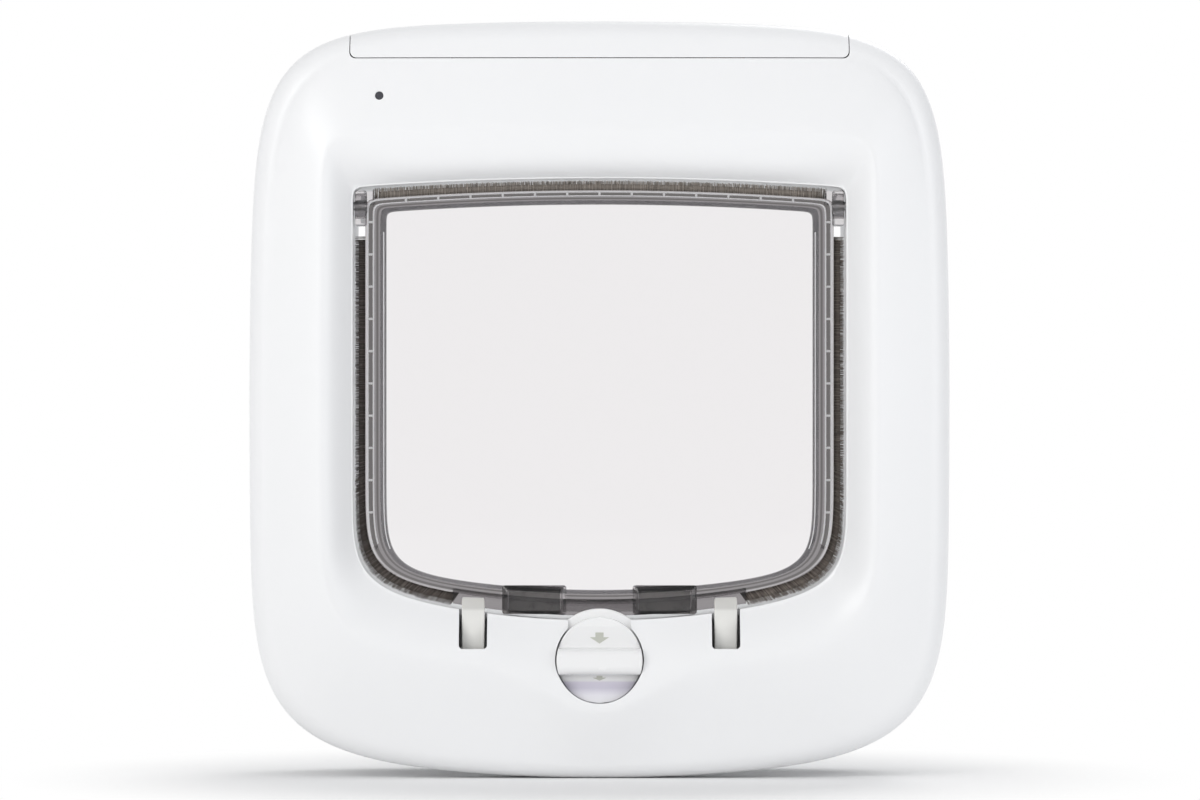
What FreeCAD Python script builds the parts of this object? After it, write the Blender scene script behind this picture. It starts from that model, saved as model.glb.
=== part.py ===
import FreeCAD, Part
import Sketcher

import math
import os
import re
from collections import namedtuple

# A cat flap with a locking dial, a swinging clear flap and a chip reader, as an assembly.
# The origin is the centre of the flange on the inner face of the door. X is right, Y goes
# into the door and Z is up, all in millimetres. The room is on the -Y side.

Vector = FreeCAD.Vector
doc = FreeCAD.newDocument("CatFlap")

# Driving dimensions. Each row is a name, a size and what it is.
SIZES = [
    # Outline of the inside frame: how far its sides and its ends bow, and the power that
    # rounds its corners. Higher powers are squarer.
    ("frame_side_bow_up", 3.8, "how far the sides lean in at the top"),
    ("frame_side_bow_down", 1.8, "how far the sides lean in at the bottom"),
    ("frame_end_bow_up", 4.6, "drop of the top edge at the corners"),
    ("frame_end_bow_down", 12.2, "rise of the bottom edge at the corners"),
    ("frame_power_up", 6.9, "squareness of the top corners"),
    ("frame_power_down", 6.5, "squareness of the bottom corners"),
    # The crest is the highest line of the moulding, between the flange and the dish.
    ("flange_side", 24.85, "flange across at the sides"),
    ("dish_side", 10.8, "dish across at the sides"),
    ("flange_up", 37.25, "flange across at the top"),
    ("dish_up", 16.7, "dish across at the top"),
    ("flange_down", 38.25, "flange across at the bottom"),
    ("dish_down", 15.8, "dish across at the bottom"),
    ("crest_side_bow", 0.5, "lean of the crest's sides"),
    ("crest_end_bow_up", 1.5, "drop of the crest at the top corners"),
    ("crest_end_bow_down", 9.0, "rise of the crest at the bottom corners"),
    ("crest_power_up", 16.0, "squareness of the crest's top corners"),
    ("crest_power_down", 8.0, "squareness of the crest's bottom corners"),
    ("dish_bulge", 15.0, "how far the dish runs down round the dial"),
    ("dish_bulge_width", 24.0, "half width of that run"),
    # The opening that the flap hangs in.
    ("opening_half_width", 84.0, "half width of the opening"),
    ("opening_up", 75.3, "opening above the centre"),
    ("opening_down", 75.2, "opening below the centre"),
    ("opening_end_bow_up", 3.1, "arch of the opening's top"),
    ("opening_end_bow_down", 11.7, "bow of the opening's bottom"),
    ("opening_power_up", 60.0, "squareness of the opening's top corners"),
    ("opening_power_down", 9.0, "squareness of the opening's bottom corners"),
    # Depth of the inside frame, measured from the door.
    ("flange_rise", 9.043, "crest in front of the rolled rim"),
    ("rim_behind", 1.4, "end of the outer wall's straight part behind the cells' middle"),
    ("rim_round", 9.0, "radius of the rolled rim"),
    ("rim_turn", 70.0, "angle that the rim rolls through"),
    ("lip_depth", 17.2, "front of the opening's lip above the door"),
    ("lip_back", 12.0, "back of the lip above the door"),
    ("wall", 2.4, "wall of the moulding"),
    ("dish_wall", 3.1, "wall of the dish along the depth"),
    # The back cover, its tunnel and the outside frame.
    ("plate", 2.5, "thickness of the back cover"),
    ("plate_gap", 0.3, "clearance of the back cover in the frame"),
    ("tunnel_wall", 2.0, "wall of the tunnel and of the sleeve"),
    ("tunnel_reach", 36.0, "how far the tunnel runs into the door"),
    ("tunnel_seat", 0.1, "gap between the tunnel and the lip"),
    ("door", 44.0, "thickness of the door"),
    ("sleeve_gap", 0.3, "clearance of the sleeve round the tunnel"),
    ("sleeve_start", 14.0, "where the sleeve starts behind the inner door face"),
    ("outside_step", 5.0, "how much smaller the outside frame is on each side"),
    ("outside_depth", 12.0, "how far the outside frame stands out"),
    ("outside_round", 6.0, "radius of the outside frame's edge"),
    ("outside_wall", 2.4, "wall of the outside frame"),
    # Antenna coil in its channel at the root of the tunnel.
    ("coil_thick", 2.4, "coil across its winding"),
    ("coil_deep", 6.0, "coil along the tunnel"),
    ("coil_gap", 0.1, "gap round the coil"),
    ("coil_sunk", 0.5, "how far the coil's seat is sunk into the back cover"),
    ("channel_wall", 1.4, "wall of the coil's channel"),
    # The flap.
    ("flap_front", 13.0, "front face of the flap above the door"),
    ("flap_thick", 6.0, "thickness of the flap's rail"),
    ("flap_side_gap", 4.1, "flap to opening at the sides"),
    ("flap_top_gap", 3.9, "flap to opening at the top"),
    ("flap_bottom_gap", 5.4, "flap's rail to opening at the bottom"),
    ("flap_end_bow_down", 10.1, "bow of the flap's bottom rail"),
    ("lip_gap", 1.4, "bottom lip to opening"),
    ("lip_half_width", 50.0, "half width of the bottom lip"),
    ("lip_thick", 3.6, "thickness of the bottom lip"),
    ("rail_side", 7.1, "rail of the flap at the sides"),
    ("rail_up", 4.8, "rail of the flap at the top"),
    ("rail_down", 4.7, "rail of the flap at the bottom"),
    ("window_end_bow_up", 2.6, "arch of the window's top"),
    ("window_end_bow_down", 7.5, "bow of the window's bottom"),
    ("window_power_up", 40.0, "squareness of the window's top corners"),
    ("window_power_down", 10.0, "squareness of the window's bottom corners"),
    ("pane", 2.0, "thickness of the window"),
    ("bevel_share", 0.72, "where the bevel starts between rail edge and window"),
    ("ladder_start_share", 0.05, "outer edge of the ladder groove"),
    ("ladder_end_share", 0.34, "inner edge of the ladder groove"),
    ("ladder_deep", 1.3, "depth of the ladder groove"),
    ("ladder_pitch", 11.0, "pitch of the ladder's ribs"),
    ("ladder_rib", 0.8, "thickness of a rib"),
    ("ladder_short", 23.2, "end of the ladder groove above the opening's bottom"),
    # Hinge of the flap.
    ("hinge_drop", 9.3, "hinge axis below the opening's top"),
    ("hinge_pin_radius", 1.5, "radius of the hinge pins"),
    ("hinge_run", 0.05, "running clearance of the pins"),
    ("hinge_press", 0.02, "gap of the pins in the flap"),
    ("hinge_pin_in", 3.6, "length of a pin inside the flap"),
    ("hinge_boss_radius", 4.0, "radius of the hinge bosses"),
    ("hinge_boss_reach", 3.0, "how far the bosses stand off the tunnel"),
    ("ear_gap", 0.6, "hinge ear to opening"),
    ("ear_top", 4.3, "radius of the ear's knuckle round the hinge axis"),
    ("ear_bottom", 6.9, "bottom of the ear below the hinge axis"),
    # Pile strips.
    ("pile_thick", 2.4, "thickness of the pile strips"),
    ("pile_gap", 0.4, "tips of the pile to the opening"),
    ("pile_seat", 0.05, "pile to the flap's rail"),
    ("pile_top_short", 7.0, "end of the top pile before the opening's side"),
    ("pile_ear_gap", 3.5, "side pile below the hinge ear"),
    ("pile_lip_gap", 1.5, "side pile to the bottom lip"),
    # Magnets.
    ("magnet_inner", 13.6, "inner end of the flap's magnets"),
    ("magnet_long", 17.3, "length of a magnet"),
    ("magnet_tall", 6.6, "height of a magnet"),
    ("magnet_thick", 4.4, "thickness of a magnet"),
    ("magnet_drop", 0.6, "flap's magnets below the window"),
    ("magnet_gap", 0.1, "clearance round a magnet"),
    ("housing_wall", 1.5, "wall of the magnets' housing"),
    ("housing_proud", 0.6, "how far the housings stand off the rail"),
    ("housing_low_wall", 0.9, "wall of the housing below its magnet"),
    ("sill_magnet_inner", 18.5, "inner end of the sill magnets"),
    ("sill_magnet_long", 13.5, "length of a sill magnet"),
    ("sill_magnet_tall", 3.5, "height of a sill magnet"),
    ("sill_magnet_thick", 6.0, "sill magnet along the tunnel"),
    ("sill_magnet_seat", 0.05, "sill magnet to the tunnel"),
    # Latches, their bar, springs and solenoid.
    ("latch_at", 43.0, "latches from the middle"),
    ("latch_wide", 7.8, "width of a latch"),
    ("latch_front", 17.4, "front of the latches above the door"),
    ("latch_thick", 3.9, "thickness of a latch"),
    ("latch_over_bar", 4.0, "bottom of the latches above the bar's top"),
    ("latch_over", 7.9, "top of the latches above the opening's bottom"),
    ("latch_slope", 3.7, "height of the latch's sloped nose"),
    ("latch_nose", 1.2, "how far the nose leans back"),
    ("slot_gap", 0.9, "slot beside a latch"),
    ("slot_below", 9.5, "bottom of the slots below the opening"),
    ("bar_below", 32.8, "top of the latch bar below the opening"),
    ("bar_tall", 6.0, "height of the latch bar"),
    ("bar_thick", 6.0, "thickness of the latch bar"),
    ("latch_lap", 6.0, "how far the bar's uprights run up behind the latches"),
    ("upright_thick", 3.5, "thickness of the uprights behind the latches"),
    ("spring_wide", 4.6, "width of the zigzag return springs"),
    ("spring_deep", 4.0, "depth of the return springs"),
    ("spring_strip", 0.8, "thickness of the spring's strip"),
    ("spring_rise", 1.46, "rise of each leg of the zigzag"),
    ("spring_tall", 9.6, "space of a return spring under the bar"),
    ("ledge_over", 1.2, "how much wider than its spring a ledge is on each side"),
    ("solenoid_at", 28.5, "solenoid from the middle"),
    ("solenoid_wide", 17.0, "width of the solenoid"),
    ("solenoid_deep", 13.0, "depth of the solenoid"),
    ("solenoid_tall", 15.0, "height of the solenoid"),
    ("solenoid_back", 5.5, "back of the solenoid above the door"),
    ("solenoid_sheet", 1.4, "steel of the solenoid's bracket"),
    ("solenoid_over_bar", 2.6, "bottom of the solenoid above the bar's top"),
    ("coil_radius", 5.0, "radius of the solenoid's winding"),
    ("plunger_radius", 2.2, "radius of the plunger"),
    ("plunger_gap", 0.3, "clearance of the plunger"),
    ("plunger_long", 14.0, "length of the plunger"),
    # The dial.
    ("dial_below", 13.4, "dial axis below the opening"),
    ("knob_radius", 14.6, "radius of the knob"),
    ("knob_gap", 0.5, "gap round the knob"),
    ("knob_back", 15.9, "back of the knob above the door"),
    ("knob_face", 21.4, "face of the knob above the door"),
    ("knob_scoop", 2.6, "depth of the scoop above the grip"),
    ("knob_chord", 11.5, "upper chord of the knob above its axis"),
    ("knob_slope", 7.1, "lower chord of the knob below its axis"),
    ("knob_slope_deep", 3.6, "fall of the face below the lower chord"),
    ("grip_top", 4.1, "top of the grip above the axis"),
    ("grip_bottom", 4.9, "bottom of the grip below the axis"),
    ("grip_front", 26.6, "front of the grip above the door"),
    ("grip_round", 3.2, "rounding of the grip"),
    ("blade_radius", 17.4, "radius of the lock blades"),
    ("blade_angle", 190.0, "angle that a blade covers"),
    ("blade_before", 50.0, "angle of the front blade before the top"),
    ("blade_thick", 2.0, "thickness of a blade"),
    ("blade_gap", 0.4, "clearance round the blades"),
    ("blade_front_back", 13.9, "back of the front blade above the door"),
    ("blade_rear_back", 3.5, "back of the rear blade above the door"),
    ("hub_radius", 8.0, "radius of the dial's hub"),
    ("journal_radius", 5.0, "radius of the dial's journal"),
    ("journal_run", 0.05, "running clearance of the journal"),
    ("journal_end", 0.5, "end of the journal above the door"),
    ("washer_rim", 0.4, "rim left round the wave washer"),
    ("washer_gap", 0.1, "gap on each side of the wave washer"),
    # Battery cover and batteries.
    ("cover_side", 34.45, "end of the battery cover before the frame's side"),
    ("cover_tall", 13.15, "battery cover down from the frame's top"),
    ("cover_back", 4.0, "back edge of the battery cover above the door"),
    ("cover_corner", 2.2, "corner radius of the battery cover"),
    ("seam", 0.3, "seam round the battery cover"),
    ("tongue_beside", 5.7, "tongues of the battery cover beside the tray"),
    ("tongue_wide", 8.0, "width of a tongue"),
    ("tongue_long", 5.0, "reach of a tongue below the seam"),
    ("tongue_thick", 1.4, "thickness of a tongue"),
    ("tongue_front", 15.9, "front of the tongues above the door"),
    ("cell_radius", 7.25, "radius of a battery cell"),
    ("cell_long", 49.5, "length of a cell's can"),
    ("cell_nub", 1.0, "length of a cell's button"),
    ("cell_nub_radius", 2.75, "radius of a cell's button"),
    ("cell_below", 17.75, "upper row of cells below the frame's top"),
    ("cell_pitch", 14.8, "pitch of the rows"),
    ("cell_seat", 0.05, "cells to the tray's seat"),
    ("contact_room", 2.9, "room for the contacts at each end of the cells"),
    ("tray_wall", 1.4, "wall of the tray"),
    ("tray_gap", 0.2, "gap between tray and cells"),
    ("tray_seat", 0.1, "gap between tray and back cover"),
    ("contact_sheet", 0.5, "thickness of a contact"),
    ("contact_side", 9.0, "side of a contact"),
    ("contact_spring_radius", 2.4, "radius of a contact's spring"),
    # Boards, light and button.
    ("board_thick", 1.6, "thickness of the circuit boards"),
    ("board_back", 7.4, "back of the boards above the door"),
    ("board_beside", 13.0, "main board beside the opening"),
    ("board_wide", 16.0, "width of the main board"),
    ("board_tall", 108.0, "height of the main board"),
    ("capacitor_radius", 3.4, "radius of the capacitor"),
    ("capacitor_long", 6.0, "length of the capacitor"),
    ("capacitor_in", 16.0, "capacitor from the board's lower end"),
    ("board_screw_in", 3.2, "board screws from the board's ends"),
    ("pillar_radius", 2.4, "radius of the board pillars"),
    ("board_screw_radius", 1.0, "radius of the board screws"),
    ("board_screw_head", 1.9, "head radius of the board screws"),
    ("light_nearer", 1.4, "status light from midway between tray and case screw"),
    ("light_below", 26.05, "status light below the frame's top"),
    ("light_radius", 1.3, "radius of the status light"),
    ("light_gap", 0.15, "gap round the status light"),
    ("light_front", 22.6, "front of the status light above the door"),
    ("light_base", 2.4, "radius of the light's base"),
    ("small_board_wide", 18.0, "width of the small board"),
    ("small_board_drop", 11.2, "bottom of the small board below the light"),
    ("small_board_tall", 22.0, "height of the small board"),
    ("switch_in", 4.3, "button from the status light"),
    ("switch_side", 5.2, "side of the switch"),
    ("switch_tall", 4.0, "height of the switch"),
    ("button_radius", 2.0, "radius of the button"),
    ("button_long", 4.0, "length of the button"),
    ("button_sunk", 1.6, "button inside the switch at rest"),
    ("button_travel", 0.8, "travel of the button"),
    ("button_gap", 0.2, "gap round the button"),
    # Fasteners.
    ("screw_beside", 17.0, "mounting screws beside the opening"),
    ("screw_above", 2.7, "mounting screws above the opening's top"),
    ("screw_radius", 2.0, "radius of the mounting screws"),
    ("screw_head_radius", 3.8, "head radius of the mounting screws"),
    ("screw_head", 2.6, "head height of the mounting screws"),
    ("screw_gap", 0.05, "gap of the screws in their bosses"),
    ("bore_end", 0.5, "how much longer than its screw a bore is"),
    ("screw_hole_gap", 0.3, "gap of the screws in through holes"),
    ("screw_end", 18.0, "end of the mounting screws above the inner door face"),
    ("screw_seat", 6.0, "seat of the screw heads above the outer door face"),
    ("boss_radius", 4.6, "radius of the mounting bosses"),
    ("boss_gap", 0.2, "bosses to the back cover"),
    ("recess_gap", 0.4, "gap round a screw head"),
    ("cap_thick", 1.6, "thickness of the screw caps"),
    ("cap_gap", 0.15, "gap round a screw cap"),
    ("case_side_in", 9.15, "side case screws in from the frame's side"),
    ("case_top_in", 20.65, "top case screws in from the frame's side"),
    ("case_top_below", 26.25, "top case screws below the frame's top"),
    ("case_low_in", 45.65, "bottom case screws in from the frame's side"),
    ("case_low_above", 17.25, "bottom case screws above the frame's bottom"),
    ("case_radius", 1.4, "radius of the case screws"),
    ("case_head_radius", 2.8, "head radius of the case screws"),
    ("case_head", 1.6, "head height of the case screws"),
    ("case_long", 11.0, "length of the case screws"),
    ("case_boss_radius", 3.2, "radius of the case screw bosses"),
]
ALIASES = [row[0] for row in SIZES]

# Places and spans that follow from the driving dimensions. A row may use the rows above it.
WORKED_OUT = [
    ("cell_depth", "plate + tray_seat + cell_seat + cell_radius", "cells above the door"),
    ("rim_straight", "cell_depth - rim_behind", "straight part of the outer wall"),
    ("frame_depth", "rim_straight + rim_round * sin(rim_turn) + flange_rise", "crest above the door"),
    ("crest_half_width", "opening_half_width + dish_side", "half width of the crest line"),
    ("crest_up", "opening_up + dish_up", "crest above the centre"),
    ("crest_down", "opening_down + dish_down", "crest below the centre"),
    ("frame_half_width", "crest_half_width + flange_side", "half width of the inside frame"),
    ("frame_up", "crest_up + flange_up", "reach of the frame above the centre"),
    ("frame_down", "crest_down + flange_down", "reach of the frame below the centre"),
    ("window_half_width", "opening_half_width - flap_side_gap - rail_side", "half width of the window"),
    ("window_up", "opening_up - flap_top_gap - rail_up", "window above the centre"),
    ("window_down", "opening_down - flap_bottom_gap - rail_down", "window below the centre"),
    ("ladder_low", "opening_down - ladder_short", "end of the ladder groove below the centre"),
    ("hinge_up", "opening_up - hinge_drop", "hinge axis above the centre"),
    ("pile_top_half", "opening_half_width - pile_top_short", "half length of the top pile"),
    ("pile_side_top", "hinge_up - ear_bottom - pile_ear_gap", "top of the side pile above the centre"),
    ("pile_bottom_half", "lip_half_width + pile_lip_gap", "end of the side pile along the bottom"),
    ("magnet_top", "window_down + magnet_drop", "top of the flap's magnets below the centre"),
    ("latch_top", "opening_down - latch_over", "top of the latches below the centre"),
    ("slot_bottom", "opening_down + slot_below", "bottom of the slots below the centre"),
    ("bar_top", "opening_down + bar_below", "top of the latch bar below the centre"),
    ("latch_low", "bar_top - latch_over_bar", "bottom of the latches below the centre"),
    ("upright_top", "latch_low - latch_lap", "top of the bar's uprights below the centre"),
    ("solenoid_bottom", "bar_top - solenoid_over_bar", "bottom of the solenoid below the centre"),
    ("dial_down", "opening_down + dial_below", "dial axis below the centre"),
    ("cover_half_width", "frame_half_width - cover_side", "half width of the battery cover"),
    ("cover_low", "frame_up - cover_tall", "lower edge of the battery cover above the centre"),
    ("cell_row", "frame_up - cell_below", "upper row of cells above the centre"),
    ("tray_half", "cell_long + cell_nub + contact_room", "half length inside the battery tray"),
    ("tongue_at", "tray_half + tray_wall + tongue_beside", "tongues of the battery cover from the middle"),
    ("board_at", "opening_half_width + board_beside", "main board from the middle"),
    ("screw_at", "opening_half_width + screw_beside", "mounting screws from the middle"),
    ("screw_up", "opening_up + screw_above", "mounting screws above and below the centre"),
    ("case_side_at", "frame_half_width - case_side_in", "side case screws from the middle"),
    ("case_top_at", "frame_half_width - case_top_in", "top case screws from the middle"),
    ("case_top_up", "frame_up - case_top_below", "top case screws above the centre"),
    ("case_low_at", "frame_half_width - case_low_in", "bottom case screws from the middle"),
    ("case_low_down", "frame_down - case_low_above", "bottom case screws below the centre"),
    ("light_at", "(tray_half + case_top_at) / 2 - light_nearer", "status light from the middle"),
    ("light_up", "frame_up - light_below", "status light above the centre"),
    ("small_board_low", "light_up - small_board_drop", "bottom of the small board above the centre"),
    ("switch_at", "light_at - switch_in", "button from the middle"),
]
WORKED_ALIASES = [row[0] for row in WORKED_OUT]

sheet = doc.addObject("Spreadsheet::Sheet", "Sizes")
for row_number, (alias, value, meaning) in enumerate(SIZES, start=1):
    sheet.set("A%d" % row_number, meaning)
    sheet.set("B%d" % row_number, str(value))
    sheet.setAlias("B%d" % row_number, alias)
doc.recompute()

ALIAS_WORD = re.compile(r"\b(%s)\b" % "|".join(ALIASES))
WORKED_WORD = re.compile(r"\b(%s)\b" % "|".join(WORKED_ALIASES))

worked = doc.addObject("App::FeaturePython", "Worked")
spelled_out = {}
for alias, text, meaning in WORKED_OUT:
    text = WORKED_WORD.sub(lambda word: spelled_out[word.group()], ALIAS_WORD.sub(r"Sizes.\1", text))
    spelled_out[alias] = "(%s)" % text
    worked.addProperty("App::PropertyFloat", alias, "Worked out", meaning)
    worked.setExpression(alias, text)
doc.recompute()
AXIS_TURN = {
    "x": FreeCAD.Rotation(Vector(0, 1, 0), 90),
    "y": FreeCAD.Rotation(Vector(1, 0, 0), -90),
    "z": FreeCAD.Rotation(),
}
sub_parts = []


def size(alias):
    """A dimension of either list as a number."""
    return getattr(worked, alias) if alias in WORKED_ALIASES else float(sheet.get(alias))


def bind(thing, prop, text):
    """Tie a property to an expression in the names of both lists."""
    thing.setExpression(prop, WORKED_WORD.sub(r"Worked.\1", ALIAS_WORD.sub(r"Sizes.\1", text)))


def place(thing, at, turn=None):
    """Put an object at three expressions, turned by a fixed rotation."""
    thing.Placement = FreeCAD.Placement(Vector(), turn or FreeCAD.Rotation())
    for axis, text in zip("xyz", at):
        bind(thing, ".Placement.Base." + axis, text)


def box(name, lengths, at):
    """A block from its lowest corner."""
    block = doc.addObject("Part::Box", name)
    for prop, text in zip(("Length", "Width", "Height"), lengths):
        bind(block, prop, text)
    place(block, at)
    return block


def rod(name, radius, length, at, axis="y"):
    """A cylinder from the middle of its low end along an axis."""
    cylinder = doc.addObject("Part::Cylinder", name)
    bind(cylinder, "Radius", radius)
    bind(cylinder, "Height", length)
    place(cylinder, at, AXIS_TURN[axis])
    return cylinder


def fuse(name, things):
    joined = doc.addObject("Part::MultiFuse", name)
    joined.Shapes = things
    return joined


def cut(name, base, tool):
    rest = doc.addObject("Part::Cut", name)
    rest.Base = base
    rest.Tool = tool
    return rest


def common(name, base, tool):
    shared = doc.addObject("Part::Common", name)
    shared.Base = base
    shared.Tool = tool
    return shared


def mirror(name, source, normal=(1, 0, 0)):
    """The same shape on the other side of the middle plane."""
    image = doc.addObject("Part::Mirroring", name)
    image.Source = source
    image.Base = Vector()
    image.Normal = Vector(*normal)
    return image


def group(name, things):
    bundle = doc.addObject("Part::Compound", name)
    bundle.Links = things
    return bundle


def both_sides(name, thing):
    """A shape with its mirror image across the YZ plane."""
    return group(name, [thing, mirror(name + "_image", thing)])


def four_corners(name, thing):
    """A shape with its images across the YZ and the XY planes."""
    pair = both_sides(name + "_pair", thing)
    return group(name, [pair, mirror(name + "_low", pair, (0, 0, 1))])


def shaped(name, shape):
    """An object whose shape is worked out below from the sizes in the sheet."""
    feature = doc.addObject("Part::Feature", name)
    feature.Shape = shape
    return feature


def keep(thing, node):
    """Register a finished sub-part under the name of its file."""
    thing.Label = node
    sub_parts.append(thing)
    return thing


def profile_sketch(body, name, plane, points):
    """A closed sketch of straight lines on an origin plane, each corner tied to the sheet."""
    sketch = body.newObject("Sketcher::SketchObject", name)
    origin = [f for f in body.Origin.OriginFeatures if f.Role == plane][0]
    sketch.AttachmentSupport = [(origin, "")]
    sketch.MapMode = "FlatFace"
    turns = [2 * math.pi * number / len(points) for number in range(len(points))]
    start = [Vector(math.cos(turn), math.sin(turn), 0) for turn in turns]
    for number, corner in enumerate(start):
        sketch.addGeometry(Part.LineSegment(corner, start[(number + 1) % len(start)]), False)
    for number in range(len(points)):
        following = (number + 1) % len(points)
        sketch.addConstraint(Sketcher.Constraint("Coincident", number, 2, following, 1))
    for number, corner in enumerate(points):
        for kind, text in zip(("DistanceX", "DistanceY"), corner):
            index = sketch.addConstraint(Sketcher.Constraint(kind, -1, 1, number, 1, 1.0))
            bind(sketch, "Constraints[%d]" % index, text)
    return sketch


def turned(name, node_profile, plane="XY_Plane"):
    """A body turned about X from a half profile of (along X, radius) corners."""
    body = doc.addObject("PartDesign::Body", name)
    sketch = profile_sketch(body, name + "_profile", plane, node_profile)
    lathe = body.newObject("PartDesign::Revolution", name + "_turned")
    lathe.Profile = sketch
    lathe.ReferenceAxis = (sketch, ["H_Axis"])
    lathe.Angle = 360
    return body


def padded(name, plane, points, thick):
    """A body pushed out evenly to both sides of an origin plane."""
    body = doc.addObject("PartDesign::Body", name)
    sketch = profile_sketch(body, name + "_profile", plane, points)
    pad = body.newObject("PartDesign::Pad", name + "_pad")
    pad.Profile = sketch
    pad.Midplane = True
    bind(pad, "Length", thick)
    return body


# Outlines

# Every ring of the moulding follows one kind of outline: a rectangle whose sides and ends
# bow inwards, with corners rounded by a power as a superellipse has them.
OutlineBase = namedtuple(
    "OutlineBase",
    "half_width up down side_bow_up side_bow_down end_bow_up end_bow_down power_up power_down bulge",
)


# A corner's curves meet at these angles from its middle, each divided by the corner's power.
CORNER_SPREADS = (-4.0, -1.5, 0.0, 1.5, 4.0)


class Outline(OutlineBase):
    def inset(self, side, top=None, bottom=None):
        """The outline drawn in by an amount, or out if it is negative."""
        return self._replace(
            half_width=self.half_width - side,
            up=self.up - (side if top is None else top),
            down=self.down - (side if bottom is None else bottom),
        )

    def blend(self, other, share):
        """The outline part of the way to another one."""
        return Outline(*[a + (b - a) * share for a, b in zip(self, other)])

    def reach(self, angle):
        """Distance to the outline at an angle, halving the range until it is met."""
        across, along = abs(math.cos(angle)), abs(math.sin(angle))
        above = math.sin(angle) >= 0
        height = self.up if above else self.down
        side_bow = self.side_bow_up if above else self.side_bow_down
        end_bow = self.end_bow_up if above else self.end_bow_down
        power = self.power_up if above else self.power_down
        low, high = 0.0, self.half_width + height
        for _ in range(48):
            middle = (low + high) / 2
            x, z = middle * across, middle * along
            side = self.half_width - side_bow * (z / height) ** 2
            end = height - end_bow * (x / self.half_width) ** 2
            if not above:
                end += self.bulge * math.exp(-((x / size("dish_bulge_width")) ** 2))
            if (x / side) ** power + (z / end) ** power > 1:
                high = middle
            else:
                low = middle
        return (low + high) / 2

    def point(self, angle):
        reach = self.reach(angle)
        return (reach * math.cos(angle), reach * math.sin(angle))

    def break_angles(self):
        """Where one curve of the outline ends and the next starts, from the right side round."""
        corner_up = math.atan2(self.up, self.half_width)
        corner_down = math.atan2(self.down, self.half_width)
        upper = [corner_up + spread / self.power_up for spread in CORNER_SPREADS]
        lower = [corner_down + spread / self.power_down for spread in CORNER_SPREADS]
        quarter = math.pi / 2
        return (
            [0.0] + upper + [quarter]
            + [2 * quarter - angle for angle in reversed(upper)] + [2 * quarter]
            + [2 * quarter + angle for angle in lower] + [3 * quarter]
            + [4 * quarter - angle for angle in reversed(lower)]
        )

    def edges(self, y):
        """The outline at a depth, as cubic curves that meet with one tangent."""
        step = 1e-3
        knots, tangents = [], []
        for angle in self.break_angles():
            before, after = self.point(angle - step), self.point(angle + step)
            run = math.hypot(after[0] - before[0], after[1] - before[1])
            knots.append(self.point(angle))
            tangents.append(((after[0] - before[0]) / run, (after[1] - before[1]) / run))
        curves = []
        for number, start in enumerate(knots):
            following = (number + 1) % len(knots)
            end = knots[following]
            leave, arrive = tangents[number], tangents[following]
            chord = math.hypot(end[0] - start[0], end[1] - start[1])
            turn = math.acos(max(-1.0, min(1.0, leave[0] * arrive[0] + leave[1] * arrive[1])))
            handle = chord / 3
            if turn > 1e-3:
                handle = chord * (4 / 3) * math.tan(turn / 4) / (2 * math.sin(turn / 2))
            curves.append([
                Vector(start[0], y, start[1]),
                Vector(start[0] + leave[0] * handle, y, start[1] + leave[1] * handle),
                Vector(end[0] - arrive[0] * handle, y, end[1] - arrive[1] * handle),
                Vector(end[0], y, end[1]),
            ])
        return curves


def bezier_edge(corners):
    curve = Part.BezierCurve()
    curve.setPoles(corners)
    return curve.toShape()


def outline_face(outline, y):
    """The flat face inside an outline at a depth."""
    return Part.Face(Part.Wire([bezier_edge(c) for c in outline.edges(y)]))


def flat_ring(outer, inner, y):
    """The flat face between two outlines at a depth."""
    outer, inner = sorted((outer, inner), key=lambda o: -o.half_width)
    return outline_face(outer, y).cut(outline_face(inner, y)).Faces[0]


# Rows whose depths differ by less than this have a flat face between them.
FLAT_WITHIN = 1e-6


def strips(rows):
    """Ruled faces between each outline of a profile and the next, or a flat one at one depth."""
    faces = []
    for (first, first_y), (second, second_y) in zip(rows, rows[1:]):
        if abs(first_y - second_y) < FLAT_WITHIN:
            faces.append(flat_ring(first, second, first_y))
            continue
        for near, far in zip(first.edges(first_y), second.edges(second_y)):
            surface = Part.BSplineSurface()
            surface.buildFromPolesMultsKnots(
                [near, far], [2, 2], [4, 4], [0, 1], [0, 1], False, False, 1, 3
            )
            faces.append(surface.toShape())
    return faces


def closed(faces):
    """One solid from faces that share their edges."""
    skin = Part.Compound(faces)
    skin.sewShape(0.001)
    solid = Part.Solid(skin.Shells[0])
    if solid.Volume < 0:
        solid.reverse()
    return solid


def moulding(front_rows, back_rows):
    """A wall between two profiles that start on one level and end on another."""
    (start_out, start_y), (end_in, end_y) = front_rows[0], front_rows[-1]
    ends = [
        flat_ring(start_out, back_rows[0][0], start_y),
        flat_ring(end_in, back_rows[-1][0], end_y),
    ]
    return closed(strips(front_rows) + strips(back_rows) + ends)


def ring(outer, inner, y_from, y_to):
    """A straight wall between two outlines."""
    face = flat_ring(outer, inner, y_from)
    return face.extrude(Vector(0, y_to - y_from, 0))


def block(outline, y_from, y_to):
    """Everything inside an outline between two depths."""
    return outline_face(outline, y_from).extrude(Vector(0, y_to - y_from, 0))


def taper(outline, y_from, end, y_to):
    """Everything between two outlines at two depths."""
    caps = [outline_face(outline, y_from), outline_face(end, y_to)]
    return closed(strips([(outline, y_from), (end, y_to)]) + caps)


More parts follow.
